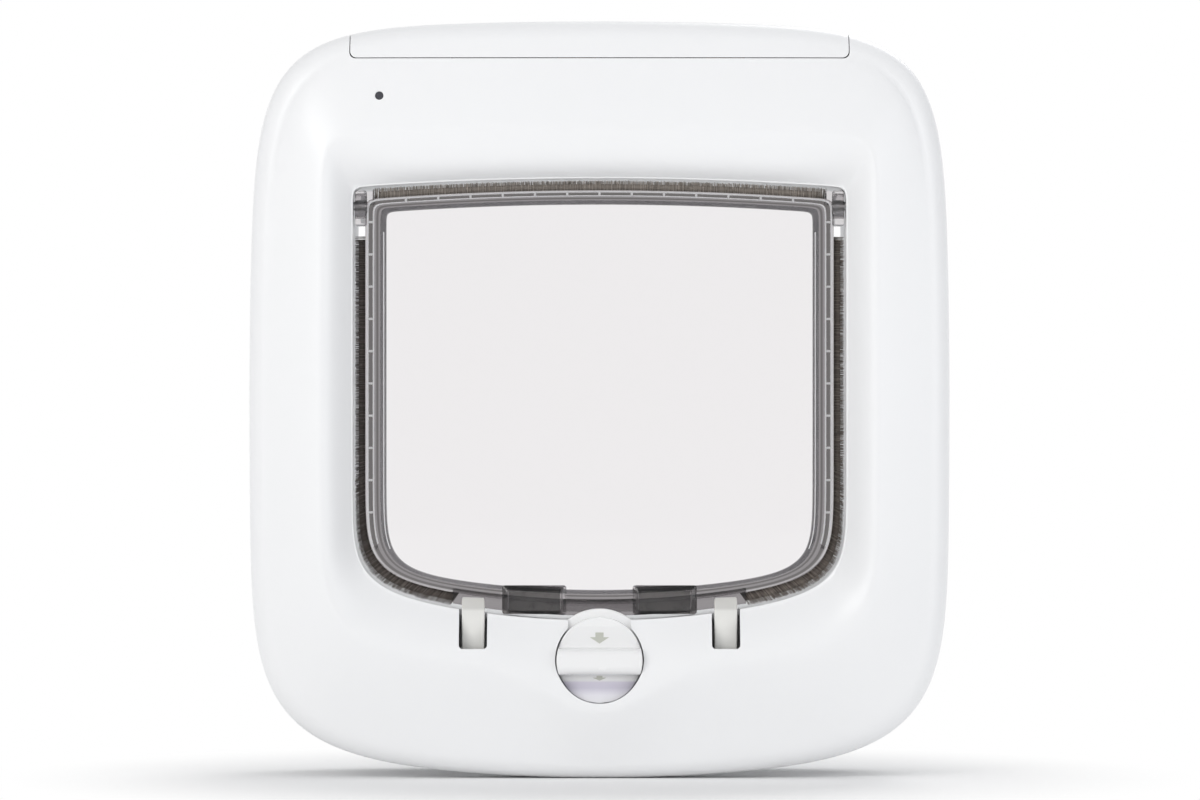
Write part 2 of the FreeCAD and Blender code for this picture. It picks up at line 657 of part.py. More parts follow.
FRAME = Outline(
    size("frame_half_width"), size("frame_up"), size("frame_down"),
    size("frame_side_bow_up"), size("frame_side_bow_down"),
    size("frame_end_bow_up"), size("frame_end_bow_down"),
    size("frame_power_up"), size("frame_power_down"), 0.0,
)
CREST = Outline(
    size("crest_half_width"), size("crest_up"), size("crest_down"),
    size("crest_side_bow"), size("crest_side_bow"),
    size("crest_end_bow_up"), size("crest_end_bow_down"),
    size("crest_power_up"), size("crest_power_down"), size("dish_bulge"),
)
OPENING = Outline(
    size("opening_half_width"), size("opening_up"), size("opening_down"), 0.0, 0.0,
    size("opening_end_bow_up"), size("opening_end_bow_down"),
    size("opening_power_up"), size("opening_power_down"), 0.0,
)
FLAP = OPENING.inset(
    size("flap_side_gap"), size("flap_top_gap"), size("flap_bottom_gap")
)._replace(end_bow_down=size("flap_end_bow_down"))
WINDOW = Outline(
    size("window_half_width"), size("window_up"), size("window_down"), 0.0, 0.0,
    size("window_end_bow_up"), size("window_end_bow_down"),
    size("window_power_up"), size("window_power_down"), 0.0,
)

# Inside frame

# Profile of the moulding from the door outwards: the straight outer wall, the rolled rim,
# the crowned flange up to the crest, the dish down to the opening and the lip.
FLANGE_SHARES = ((0.5, 0.54), (0.86, 0.93), (1.0, 1.0))
DISH_SHARES = ((0.12, 0.05), (0.3, 0.26), (0.8, 0.85), (1.0, 1.0))


def rim_rows(steps, wall):
    """The outer wall and rolled rim, drawn in by a wall thickness."""
    rows = [(FRAME.inset(wall), 0.0)]
    radius = size("rim_round")
    for step in range(steps + 1):
        angle = math.radians(size("rim_turn")) * step / steps
        inset = radius - (radius - wall) * math.cos(angle)
        rows.append((FRAME.inset(inset), -size("rim_straight") - (radius - wall) * math.sin(angle)))
    return rows


def frame_rows(rim_steps, flange_shares, dish_shares, wall, dish_wall):
    """The whole profile, with its face set back by a wall."""
    rows = rim_rows(rim_steps, wall)
    rim, rim_y = rows[-1]
    crest_y = -size("frame_depth") + wall
    lip_y = -size("lip_depth")
    for share, rise in flange_shares:
        rows.append((rim.blend(CREST, share), rim_y + (crest_y - rim_y) * rise))
    for share, fall in dish_shares:
        dish_y = -size("frame_depth") + (lip_y + size("frame_depth")) * fall
        rows.append((CREST.blend(OPENING, share), dish_y + dish_wall))
    return rows


front_rows = frame_rows(4, FLANGE_SHARES, DISH_SHARES, 0.0, 0.0)
front_rows.append((OPENING, -size("lip_back")))
back_rows = frame_rows(2, FLANGE_SHARES[2:], DISH_SHARES[1:2], size("wall"), size("dish_wall"))
back_rows.append((CREST.blend(OPENING, DISH_SHARES[2][0]), -size("lip_back")))
frame_skin = shaped("frame_skin", moulding(front_rows, back_rows))

# The space inside the moulding up to the middle of its wall trims bosses and ledges.
core_rows = frame_rows(2, FLANGE_SHARES[2:], DISH_SHARES[1:2], size("wall") / 2, size("dish_wall") / 2)
core_rows.append((CREST.blend(OPENING, DISH_SHARES[2][0]), -size("lip_back")))
core_end = core_rows[-1][0]
frame_core = shaped("frame_core", closed(
    strips(core_rows)
    + strips([(core_end, -size("lip_back")), (core_end, 0.0)])
    + [flat_ring(core_rows[0][0], core_end, 0.0)]
))

mounting_boss = rod(
    "mounting_boss", "boss_radius", "frame_depth",
    ("screw_at", "-frame_depth - plate - boss_gap", "screw_up"),
)
case_side_boss = rod(
    "case_side_boss", "case_boss_radius", "frame_depth",
    ("case_side_at", "-frame_depth - plate - boss_gap", "0"),
)
case_top_boss = rod(
    "case_top_boss", "case_boss_radius", "frame_depth",
    ("case_top_at", "-frame_depth - plate - boss_gap", "case_top_up"),
)
case_low_boss = rod(
    "case_low_boss", "case_boss_radius", "frame_depth",
    ("case_low_at", "-frame_depth - plate - boss_gap", "-case_low_down"),
)
spring_ledge = box(
    "spring_ledge",
    ("spring_wide + 2 * ledge_over", "frame_depth - plate - boss_gap", "frame_down"),
    (
        "latch_at - spring_wide / 2 - ledge_over",
        "-frame_depth",
        "-bar_top - bar_tall - spring_tall - frame_down",
    ),
)
frame_columns = fuse("frame_columns", [
    four_corners("mounting_bosses", mounting_boss),
    both_sides("case_side_bosses", case_side_boss),
    both_sides("case_top_bosses", case_top_boss),
    both_sides("case_low_bosses", case_low_boss),
    both_sides("spring_ledges", spring_ledge),
])
frame_with_bosses = fuse("frame_with_bosses", [
    frame_skin,
    common("frame_bosses", frame_columns, frame_core),
])


def cover_block(name, gap, length):
    """The space of the battery cover, with its lower corners rounded."""
    blank = box(
        name + "_blank",
        (
            "2 * cover_half_width - 2 * " + gap,
            "frame_depth",
            length,
        ),
        (
            "-cover_half_width + " + gap,
            "-frame_depth - cover_back - " + gap,
            "cover_low + " + gap,
        ),
    )
    doc.recompute()
    rounded = doc.addObject("Part::Fillet", name)
    rounded.Base = blank
    low = size("cover_low") + (size(gap) if gap in ALIASES else 0.0)
    corners = []
    for number, edge in enumerate(blank.Shape.Edges, start=1):
        along_y = abs(edge.tangentAt(edge.FirstParameter).y) > 0.9
        if along_y and abs(edge.CenterOfMass.z - low) < 0.01:
            corners.append((number, size("cover_corner"), size("cover_corner")))
    rounded.Edges = corners
    return rounded


cover_space = cover_block("cover_space", "0", "2 * cover_tall")
slot_space = both_sides("slot_spaces", box(
    "slot_space",
    ("latch_wide + 2 * slot_gap", "frame_depth", "slot_bottom - opening_down + opening_end_bow_down"),
    ("latch_at - latch_wide / 2 - slot_gap", "-frame_depth", "-slot_bottom"),
))
knob_space = rod(
    "knob_space", "knob_radius + knob_gap", "frame_depth", ("0", "-frame_depth - 1", "-dial_down")
)
blade_space = rod(
    "blade_space", "blade_radius + blade_gap", "knob_back + blade_gap",
    ("0", "-knob_back - blade_gap", "-dial_down"),
)
hinge_pocket = rod(
    "hinge_pocket", "hinge_boss_radius + boss_gap", "hinge_boss_reach + tunnel_wall",
    ("opening_half_width + tunnel_wall / 2 - boss_gap", "-flap_front + flap_thick / 2", "hinge_up"), "x",
)
light_space = rod(
    "light_space", "light_radius + light_gap", "frame_depth", ("-light_at", "-frame_depth", "light_up")
)
mounting_bore = rod(
    "mounting_bore", "screw_radius + screw_gap", "screw_end + bore_end",
    ("screw_at", "-screw_end - bore_end", "screw_up"),
)
case_bores = [
    both_sides("case_bore_" + name, rod(
        "case_bore_one_" + name, "case_radius + screw_gap", "case_long + bore_end",
        (across, "-case_long - bore_end", up),
    ))
    for name, across, up in (
        ("side", "case_side_at", "0"),
        ("top", "case_top_at", "case_top_up"),
        ("low", "case_low_at", "-case_low_down"),
    )
]
frame_spaces = fuse("frame_spaces", [
    cover_space, slot_space, knob_space, blade_space, light_space,
    both_sides("hinge_pockets", hinge_pocket),
    four_corners("mounting_bores", mounting_bore),
] + case_bores)
keep(cut("inside_frame", frame_with_bosses, frame_spaces), "interior_frame")

# Battery cover

tongue = box(
    "tongue",
    ("tongue_wide", "tongue_thick", "tongue_long + seam + 1.5 * wall"),
    ("tongue_at - tongue_wide / 2", "-tongue_front", "cover_low - tongue_long"),
)
keep(fuse("cover_moulding", [
    common("cover_skin", frame_skin, cover_block("cover_piece", "seam", "cover_tall")),
    both_sides("tongues", tongue),
]), "battery_cover")

# Back cover with the tunnel, the coil's channel, pillars and pads

plate_outline = FRAME.inset(size("wall") + size("plate_gap"))
tunnel_outside = OPENING.inset(-size("tunnel_wall"))
coil_inside = tunnel_outside.inset(-size("coil_gap"))
coil_outside = coil_inside.inset(-size("coil_thick"))
channel_inside = coil_outside.inset(-size("coil_gap"))
channel_outside = channel_inside.inset(-size("channel_wall"))
channel_reach = size("coil_deep") + 2 * size("coil_gap") - size("coil_sunk")

cover_plate = shaped("cover_plate", ring(plate_outline, OPENING, -size("plate"), 0.0))
tunnel = shaped("tunnel", ring(
    tunnel_outside, OPENING, -size("lip_back") + size("tunnel_seat"), size("tunnel_reach")
))
channel = shaped("channel", ring(channel_outside, channel_inside, -size("plate") / 2, channel_reach))
hinge_boss = rod(
    "hinge_boss", "hinge_boss_radius", "hinge_boss_reach + tunnel_wall / 2",
    ("opening_half_width + tunnel_wall / 2", "-flap_front + flap_thick / 2", "hinge_up"), "x",
)
board_pillar = rod(
    "board_pillar", "pillar_radius", "board_back - plate / 2",
    ("-board_at", "-board_back", "board_tall / 2 - board_screw_in"),
)
small_pillar = rod(
    "small_pillar", "pillar_radius", "board_back - plate / 2",
    ("-light_at", "-board_back", "light_up - light_base - 2 * pillar_radius"),
)
solenoid_pad = box(
    "solenoid_pad",
    ("solenoid_wide", "solenoid_back - plate / 2", "solenoid_tall"),
    ("solenoid_at - solenoid_wide / 2", "-solenoid_back", "-solenoid_bottom"),
)
back_blank = fuse("back_blank", [
    cover_plate, tunnel, channel,
    both_sides("hinge_bosses", hinge_boss),
    board_pillar, mirror("board_pillar_low", board_pillar, (0, 0, 1)),
    small_pillar, solenoid_pad,
])
hinge_bore = rod(
    "hinge_bore", "hinge_pin_radius + hinge_run", "hinge_boss_reach + 2 * tunnel_wall",
    ("opening_half_width - tunnel_wall / 2", "-flap_front + flap_thick / 2", "hinge_up"), "x",
)
rear_blade_space = rod(
    "rear_blade_space", "blade_radius + blade_gap", "blade_thick + 2 * blade_gap",
    ("0", "-blade_rear_back - blade_thick - blade_gap", "-dial_down"),
)
journal_bore = rod(
    "journal_bore", "journal_radius + journal_run", "2 * plate", ("0", "-plate * 1.5", "-dial_down")
)
mounting_hole = rod(
    "mounting_hole", "screw_radius + screw_hole_gap", "2 * plate", ("screw_at", "-plate * 1.5", "screw_up")
)
board_bore = rod(
    "board_bore", "board_screw_radius + screw_gap", "board_back - plate",
    ("-board_at", "-board_back", "board_tall / 2 - board_screw_in"),
)


def countersink(name, across, up):
    """The hole and cone of a case screw in the back cover."""
    hole = rod(name + "_hole", "case_radius + screw_hole_gap", "2 * plate", (across, "-plate * 1.5", up))
    cone = doc.addObject("Part::Cone", name + "_cone")
    bind(cone, "Radius1", "case_radius + screw_gap")
    bind(cone, "Radius2", "case_head_radius + screw_gap")
    bind(cone, "Height", "case_head")
    place(cone, (across, "-case_head", up), AXIS_TURN["y"])
    return both_sides(name, fuse(name + "_one", [hole, cone]))


case_countersinks = [
    countersink("sink_side", "case_side_at", "0"),
    countersink("sink_top", "case_top_at", "case_top_up"),
    countersink("sink_low", "case_low_at", "-case_low_down"),
]
coil_space = shaped("coil_space", ring(channel_inside, tunnel_outside, -size("coil_sunk"), channel_reach))
back_spaces = fuse("back_spaces", [
    coil_space, both_sides("hinge_bores", hinge_bore), rear_blade_space, journal_bore,
    four_corners("mounting_holes", mounting_hole),
    board_bore, mirror("board_bore_low", board_bore, (0, 0, 1)),
] + case_countersinks)
keep(cut("back_moulding", back_blank, back_spaces), "back_cover")

coil_front = size("coil_gap") - size("coil_sunk")
keep(shaped("coil_winding", ring(
    coil_outside, coil_inside, coil_front, coil_front + size("coil_deep")
)), "antenna_coil")

# Outside frame with the sleeve that slides over the tunnel

OUTSIDE = FRAME.inset(size("outside_step"))
sleeve_inside = OPENING.inset(-size("tunnel_wall") - size("sleeve_gap"))
sleeve_outside = sleeve_inside.inset(-size("tunnel_wall"))
outside_face = size("door") + size("outside_depth")


def outside_edge_rows(steps, wall):
    """The outer wall and rounded edge of the outside frame."""
    rows = [(OUTSIDE.inset(wall), size("door"))]
    radius = size("outside_round")
    for step in range(steps + 1):
        angle = math.pi / 2 * step / steps
        inset = radius - (radius - wall) * math.cos(angle)
        rows.append((OUTSIDE.inset(inset), outside_face - radius + (radius - wall) * math.sin(angle)))
    return rows


outside_front = outside_edge_rows(4, 0.0) + [
    (sleeve_inside.inset(-size("outside_wall") / 2), outside_face),
    (sleeve_inside, outside_face - size("outside_wall") / 2),
    (sleeve_inside, size("sleeve_start")),
]
outside_back = outside_edge_rows(2, size("outside_wall")) + [
    (sleeve_outside, outside_face - size("outside_wall")),
    (sleeve_outside, size("sleeve_start")),
]
outside_skin = shaped("outside_skin", moulding(outside_front, outside_back))
outside_column = rod(
    "outside_column", "screw_head_radius + recess_gap + outside_wall / 2",
    "outside_depth - outside_wall / 2", ("screw_at", "door + boss_gap", "screw_up"),
)
outside_recess = rod(
    "outside_recess", "screw_head_radius + recess_gap", "outside_depth",
    ("screw_at", "door + screw_seat", "screw_up"),
)
outside_hole = rod(
    "outside_hole", "screw_radius + screw_hole_gap", "outside_depth", ("screw_at", "door - boss_gap", "screw_up")
)
keep(cut(
    "outside_moulding",
    fuse("outside_blank", [outside_skin, four_corners("outside_columns", outside_column)]),
    four_corners("outside_bores", fuse("outside_bore", [outside_recess, outside_hole])),
), "exterior_frame")

# The clear flap

flap_back = -size("flap_front") + size("flap_thick")
pane_front = -size("flap_front") + (size("flap_thick") - size("pane")) / 2
bevel = FLAP.blend(WINDOW, size("bevel_share"))
flap_rail = shaped("flap_rail", block(FLAP, -size("flap_front"), flap_back))
lip_outline = OPENING.inset(size("ear_gap"), size("flap_top_gap"), size("lip_gap"))
lip_front = (pane_front + flap_back) / 2 - size("lip_thick")
lip_whole = shaped("lip_whole", block(lip_outline, lip_front, lip_front + size("lip_thick")))
flap_lip = common("flap_lip", lip_whole, box(
    "lip_limits",
    ("2 * lip_half_width", "frame_depth", "opening_down - window_down + wall"),
    ("-lip_half_width", "-frame_depth", "-opening_down - wall / 2"),
))
ear = fuse("ear", [
    box(
        "ear_plate",
        ("flap_side_gap + wall - ear_gap", "flap_thick", "ear_bottom"),
        ("opening_half_width - flap_side_gap - wall", "-flap_front", "hinge_up - ear_bottom"),
    ),
    rod(
        "ear_knuckle", "ear_top", "flap_side_gap + wall - ear_gap",
        ("opening_half_width - flap_side_gap - wall", "-flap_front + flap_thick / 2", "hinge_up"), "x",
    ),
])
magnet_housing = box(
    "magnet_housing",
    (
        "magnet_long + 2 * housing_wall",
        "flap_thick + 2 * housing_proud",
        "magnet_tall + housing_wall + housing_low_wall",
    ),
    (
        "magnet_inner - housing_wall",
        "-flap_front - housing_proud",
        "-magnet_top - magnet_tall - housing_low_wall",
    ),
)
flap_blank = fuse("flap_blank", [
    flap_rail, flap_lip,
    both_sides("ears", ear),
    both_sides("magnet_housings", magnet_housing),
])
window_front = shaped("window_front", taper(bevel, -size("flap_front") - 0.01, WINDOW, pane_front))
window_rear = shaped("window_rear", block(WINDOW, pane_front + size("pane"), flap_back + 0.01))
housing_hold = both_sides("housing_holds", box(
    "housing_hold",
    ("magnet_long + 2 * housing_wall", "2 * flap_thick", "magnet_top - window_down + 2 * housing_wall"),
    ("magnet_inner - housing_wall", "-flap_front - flap_thick / 2", "-magnet_top"),
))
magnet_space = both_sides("magnet_spaces", box(
    "magnet_space",
    ("magnet_long + 2 * magnet_gap", "magnet_thick + flap_thick", "magnet_tall + 2 * magnet_gap"),
    (
        "magnet_inner - magnet_gap",
        "-flap_front + housing_proud",
        "-magnet_top - magnet_tall - magnet_gap",
    ),
))
pin_space = both_sides("pin_spaces", rod(
    "pin_space", "hinge_pin_radius + hinge_press", "hinge_pin_in + flap_side_gap",
    (
        "opening_half_width - ear_gap - hinge_pin_in",
        "-flap_front + flap_thick / 2",
        "hinge_up",
    ), "x",
))

# The ladder is a groove round the rail, crossed by thin ribs at an even pitch.
ladder_ring = ring(
    FLAP.blend(WINDOW, size("ladder_start_share")),
    FLAP.blend(WINDOW, size("ladder_end_share")),
    -size("flap_front") - 0.01,
    -size("flap_front") + size("ladder_deep"),
)
ladder_below = Part.makeBox(
    4 * size("flap_side_gap") + 2 * size("opening_half_width"), size("frame_depth"), size("opening_down"),
    Vector(-size("opening_half_width") - 2 * size("flap_side_gap"), -size("frame_depth"),
           -size("ladder_low") - size("opening_down")),
)
ribs = []
rib_thick, rib_pitch = size("ladder_rib"), size("ladder_pitch")
rib_count = int(size("window_half_width") / rib_pitch)
for step in range(-rib_count, rib_count + 1):
    ribs.append(Part.makeBox(
        rib_thick, size("frame_depth"), size("opening_up"),
        Vector(step * rib_pitch - rib_thick / 2, -size("frame_depth"), size("window_down") / 2),
    ))
for step in range(-int(size("ladder_low") / rib_pitch), int(size("window_up") / rib_pitch)):
    ribs.append(Part.makeBox(
        2 * size("opening_half_width"), size("frame_depth"), rib_thick,
        Vector(-size("opening_half_width"), -size("frame_depth"), (step + 0.5) * rib_pitch - rib_thick / 2),
    ))
ladder_space = shaped("ladder_space", ladder_ring.cut([ladder_below] + ribs))
flap_spaces = fuse("flap_spaces", [
    cut("window_front_space", window_front, housing_hold),
    window_rear, ladder_space, magnet_space, pin_space,
])
keep(cut("flap_moulding", flap_blank, flap_spaces), "flap_panel")

magnet_right = box(
    "magnet_block",
    ("magnet_long", "magnet_thick", "magnet_tall"),
    ("magnet_inner", "-flap_front + housing_proud + magnet_gap", "-magnet_top - magnet_tall"),
)
keep(magnet_right, "flap_magnet_right")
keep(mirror("magnet_block_image", magnet_right), "flap_magnet_left")

pin_right = rod(
    "pin_steel", "hinge_pin_radius",
    "hinge_pin_in + ear_gap + tunnel_wall + hinge_boss_reach",
    (
        "opening_half_width - ear_gap - hinge_pin_in + hinge_press",
        "-flap_front + flap_thick / 2",
        "hinge_up",
    ), "x",
)
keep(pin_right, "hinge_pin_right")
keep(mirror("pin_steel_image", pin_right), "hinge_pin_left")

# Pile strips round the flap

pile_front = -size("flap_front") + (size("flap_thick") - size("pile_thick")) / 2
pile_ring = shaped("pile_ring", ring(
    OPENING.inset(size("pile_gap")),
    FLAP.inset(-size("pile_seat")),
    pile_front, pile_front + size("pile_thick"),
))
keep(common("pile_top_strip", pile_ring, box(
    "pile_top_limits",
    ("2 * pile_top_half", "frame_depth", "opening_up"),
    ("-pile_top_half", "-frame_depth", "hinge_up + pile_seat - flap_top_gap / 2"),
)), "pile_top")
pile_side_limits = cut(
    "pile_side_limits",
    box(
        "pile_side_region",
        ("opening_half_width", "frame_depth", "pile_side_top + opening_down"),
        ("0", "-frame_depth", "-opening_down"),
    ),
    box(
        "pile_bottom_region",
        ("pile_bottom_half", "2 * frame_depth", "2 * opening_down"),
        ("0", "-1.5 * frame_depth", "-1.5 * opening_down"),
    ),
)
pile_right = common("pile_right_strip", pile_ring, pile_side_limits)
keep(pile_right, "pile_right")
keep(mirror("pile_left_strip", pile_right), "pile_left")

sill_magnet = box(
    "sill_block",
    ("sill_magnet_long", "sill_magnet_thick", "sill_magnet_tall"),
    (
        "sill_magnet_inner",
        "-flap_front + flap_thick / 2 - sill_magnet_thick / 2 + 1",
        "-opening_down - tunnel_wall - sill_magnet_seat - sill_magnet_tall",
    ),
)
keep(sill_magnet, "sill_magnet_right")
keep(mirror("sill_block_image", sill_magnet), "sill_magnet_left")

# Latches, their bar, springs and solenoid

latch_body = padded("latch_blank", "YZ_Plane", [
    ("-latch_front", "-latch_low"),
    ("-latch_front", "-latch_top - latch_slope"),
    ("-latch_front + latch_nose", "-latch_top"),
    ("-latch_front + latch_thick", "-latch_top"),
    ("-latch_front + latch_thick", "-latch_low"),
], "latch_wide")
latch_right = group("latch_moulding", [latch_body])
place(latch_right, ("latch_at", "0", "0"))
keep(latch_right, "latch_right")
keep(mirror("latch_moulding_image", latch_right), "latch_left")
bar_beam = box(
    "bar_beam",
    ("2 * latch_at + latch_wide", "bar_thick", "bar_tall"),
    ("-latch_at - latch_wide / 2", "-latch_front + latch_thick", "-bar_top - bar_tall"),
)
bar_upright = box(
    "bar_upright",
    ("latch_wide", "upright_thick", "bar_top + bar_tall - upright_top"),
    ("latch_at - latch_wide / 2", "-latch_front + latch_thick", "-bar_top - bar_tall"),
)
keep(fuse("bar_moulding", [bar_beam, both_sides("bar_uprights", bar_upright)]), "latch_bar")


def zigzag(legs):
    """Corners of a zigzag strip with a foot at both ends and its first and last bends on the right."""
    right, left = "spring_wide / 2", "-spring_wide / 2"
    inner = "spring_strip * spring_wide / (2 * spring_rise)"
    foot_end = "spring_wide / 2 - spring_strip * spring_wide / spring_rise"
    levels = ["%d * spring_rise" % bend for bend in range(legs + 1)]
    going_up, going_down = [], []
    for bend, level in enumerate(levels):
        if bend % 2 == 0:
            going_up += [(right, level), (right, level + " + spring_strip")]
        else:
            going_up.append((left + " + " + inner, level + " + spring_strip / 2"))
    for bend, level in list(enumerate(levels))[legs - 1:0:-1]:
        if bend % 2:
            going_down += [(left, level + " + spring_strip"), (left, level)]
        else:
            going_down.append((right + " - " + inner, level + " + spring_strip / 2"))
    top = [(left, levels[-1] + " + spring_strip"), (left, levels[-1]), (foot_end, levels[-1])]
    bottom = [(foot_end, "spring_strip"), (left, "spring_strip"), (left, "0")]
    return going_up + top + going_down + bottom


SPRING_LEGS = 6
spring_right = group("spring_moulding", [
    padded("spring_blank", "XZ_Plane", zigzag(SPRING_LEGS), "spring_deep")
])
place(spring_right, (
    "latch_at",
    "-latch_front + latch_thick + bar_thick / 2",
    "-bar_top - bar_tall - spring_tall + screw_gap / 2",
))
keep(spring_right, "latch_spring_right")
keep(mirror("spring_moulding_image", spring_right), "latch_spring_left")

solenoid_y = "-solenoid_back - solenoid_deep / 2"
bracket_blank = box(
    "bracket_blank",
    ("solenoid_wide", "solenoid_deep", "solenoid_tall"),
    ("solenoid_at - solenoid_wide / 2", "-solenoid_back - solenoid_deep", "-solenoid_bottom"),
)
bracket_inside = box(
    "bracket_inside",
    ("solenoid_wide - 2 * solenoid_sheet", "2 * solenoid_deep", "solenoid_tall - 2 * solenoid_sheet"),
    (
        "solenoid_at - solenoid_wide / 2 + solenoid_sheet",
        "-solenoid_back - solenoid_deep * 1.5",
        "-solenoid_bottom + solenoid_sheet",
    ),
)
bracket_hole = rod(
    "bracket_hole", "plunger_radius + plunger_gap", "3 * solenoid_sheet",
    ("solenoid_at", solenoid_y, "-solenoid_bottom - solenoid_sheet"), "z",
)
keep(cut("bracket", bracket_blank, fuse("bracket_spaces", [bracket_inside, bracket_hole])), "solenoid_frame")
winding = rod(
    "winding", "coil_radius", "solenoid_tall - 2 * solenoid_sheet",
    ("solenoid_at", solenoid_y, "-solenoid_bottom + solenoid_sheet"), "z",
)
winding_bore = rod(
    "winding_bore", "plunger_radius + plunger_gap", "solenoid_tall",
    ("solenoid_at", solenoid_y, "-solenoid_bottom"), "z",
)
keep(cut("winding_wound", winding, winding_bore), "solenoid_coil")
keep(rod(
    "plunger_rod", "plunger_radius", "plunger_long",
    ("solenoid_at", solenoid_y, "-bar_top"), "z",
), "solenoid_plunger")

# The dial: a knob with a grip, a hub and two lock blades

knob_profile = padded("knob_profile", "YZ_Plane", [
    ("-knob_back", "-dial_down + knob_radius + 1"),
    ("-knob_face + knob_scoop / 2", "-dial_down + knob_radius + 1"),
    ("-knob_face", "-dial_down + knob_chord"),
    ("-knob_face + knob_scoop", "-dial_down + grip_top"),
    ("-grip_front", "-dial_down + grip_top"),
    ("-grip_front", "-dial_down - grip_bottom"),
    ("-knob_face + knob_scoop / 2", "-dial_down - grip_bottom"),
    ("-knob_face + knob_scoop / 2", "-dial_down - knob_slope"),
    ("-knob_face + knob_slope_deep", "-dial_down - knob_radius - 1"),
    ("-knob_back", "-dial_down - knob_radius - 1"),
], "3 * knob_radius")
doc.recompute()
grip_edges = []
for number, edge in enumerate(knob_profile.Shape.Edges, start=1):
    ends = [vertex.Point.y for vertex in edge.Vertexes]
    if max(abs(y + size("grip_front")) for y in ends) < 0.01 and edge.Length > 2 * size("knob_radius"):
        grip_edges.append("Edge%d" % number)
knob_pad = knob_profile.Tip
grip_fillet = knob_profile.newObject("PartDesign::Fillet", "grip_fillet")
grip_fillet.Base = (knob_pad, grip_edges)
bind(grip_fillet, "Radius", "grip_round")
knob_profile.Tip = grip_fillet
knob = common("knob", knob_profile, rod(
    "knob_round", "knob_radius", "frame_depth", ("0", "-frame_depth - 1", "-dial_down")
))


def blade(name, back, before):
    """A lock blade: part of a disc, from an angle before the top on."""
    disc = doc.addObject("Part::Cylinder", name)
    bind(disc, "Radius", "blade_radius")
    bind(disc, "Height", "blade_thick")
    bind(disc, "Angle", "blade_angle")
    turn = FreeCAD.Rotation(Vector(0, 1, 0), -90 - before).multiply(AXIS_TURN["y"])
    place(disc, ("0", "-%s - blade_thick" % back, "-dial_down"), turn)
    return disc


front_blade = blade("front_blade", "blade_front_back", size("blade_before"))
rear_blade = blade("rear_blade", "blade_rear_back", size("blade_before") - 90)
hub = rod(
    "hub", "hub_radius", "knob_back + 1 - blade_rear_back", ("0", "-knob_back - 1", "-dial_down")
)
journal = rod(
    "journal", "journal_radius", "knob_back - journal_end", ("0", "-knob_back", "-dial_down")
)
keep(fuse("dial_moulding", [knob, front_blade, rear_blade, hub, journal]), "lock_dial")
keep(cut(
    "wave_washer",
    rod(
        "washer_blank", "hub_radius - washer_rim", "blade_rear_back - plate - 2 * washer_gap",
        ("0", "-blade_rear_back + washer_gap", "-dial_down"),
    ),
    rod(
        "washer_hole", "journal_radius + washer_rim", "blade_rear_back",
        ("0", "-blade_rear_back", "-dial_down"),
    ),
), "dial_washer")

# Batteries, tray and contacts

cell_body = turned("cell_can", [
    ("0", "0"),
    ("0", "cell_radius"),
    ("cell_long", "cell_radius"),
    ("cell_long", "cell_nub_radius"),
    ("cell_long + cell_nub", "cell_nub_radius"),
    ("cell_long + cell_nub", "0"),
])
half_turn = FreeCAD.Rotation(Vector(0, 1, 0), 180)
for number in range(4):
    row, end = divmod(number, 2)
    cell = group("cell_%d" % (number + 1), [cell_body])
    along = "-cell_long - cell_nub" if end == 0 else "0"
    if row:
        along = "0" if end == 0 else "cell_long + cell_nub"
    place(cell, (along, "-cell_depth", "cell_row - %d * cell_pitch" % row), half_turn if row else None)
    keep(cell, "battery_cell_%d" % (number + 1))

tray_low = "cell_row - cell_pitch - cell_radius - tray_gap - tray_wall"
tray_front = "-cell_depth - cell_radius + tray_wall"
tray_deep = "cell_depth + cell_radius - tray_wall - plate - tray_seat"
tray_floor = box(
    "tray_floor",
    ("2 * tray_half + 2 * tray_wall", tray_deep, "tray_wall"),
    ("-tray_half - tray_wall", tray_front, tray_low),
)
tray_end = box(
    "tray_end",
    ("tray_wall", tray_deep, "cell_pitch + 1.75 * cell_radius"),
    ("tray_half", tray_front, tray_low),
)
keep(fuse("tray_moulding", [tray_floor, both_sides("tray_ends", tray_end)]), "battery_tray")

contacts = []
for row in range(2):
    height = "cell_row - %d * cell_pitch" % row
    contact_plate = box(
        "contact_plate_%d" % row,
        ("contact_sheet", "contact_side", "contact_side"),
        ("tray_half - contact_sheet", "-cell_depth - contact_side / 2", height + " - contact_side / 2"),
    )
    contact_spring = rod(
        "contact_spring_%d" % row, "contact_spring_radius",
        "tray_half - contact_sheet / 2 - cell_long - cell_nub - screw_gap",
        ("cell_long + cell_nub + screw_gap", "-cell_depth", height), "x",
    )
    contact = fuse("contact_%d" % row, [contact_plate, contact_spring])
    contacts += [contact, mirror("contact_image_%d" % row, contact)]
keep(group("contact_set", contacts), "battery_contacts")

# Boards, parts on them, status light and button

board_blank = box(
    "board_blank",
    ("board_wide", "board_thick", "board_tall"),
    ("-board_at - board_wide / 2", "-board_back - board_thick", "-board_tall / 2"),
)
board_hole = rod(
    "board_hole", "board_screw_radius + screw_gap", "3 * board_thick",
    ("-board_at", "-board_back - 2 * board_thick", "board_tall / 2 - board_screw_in"),
)
keep(cut(
    "board_drilled", board_blank,
    fuse("board_holes", [board_hole, mirror("board_hole_low", board_hole, (0, 0, 1))]),
), "circuit_board")


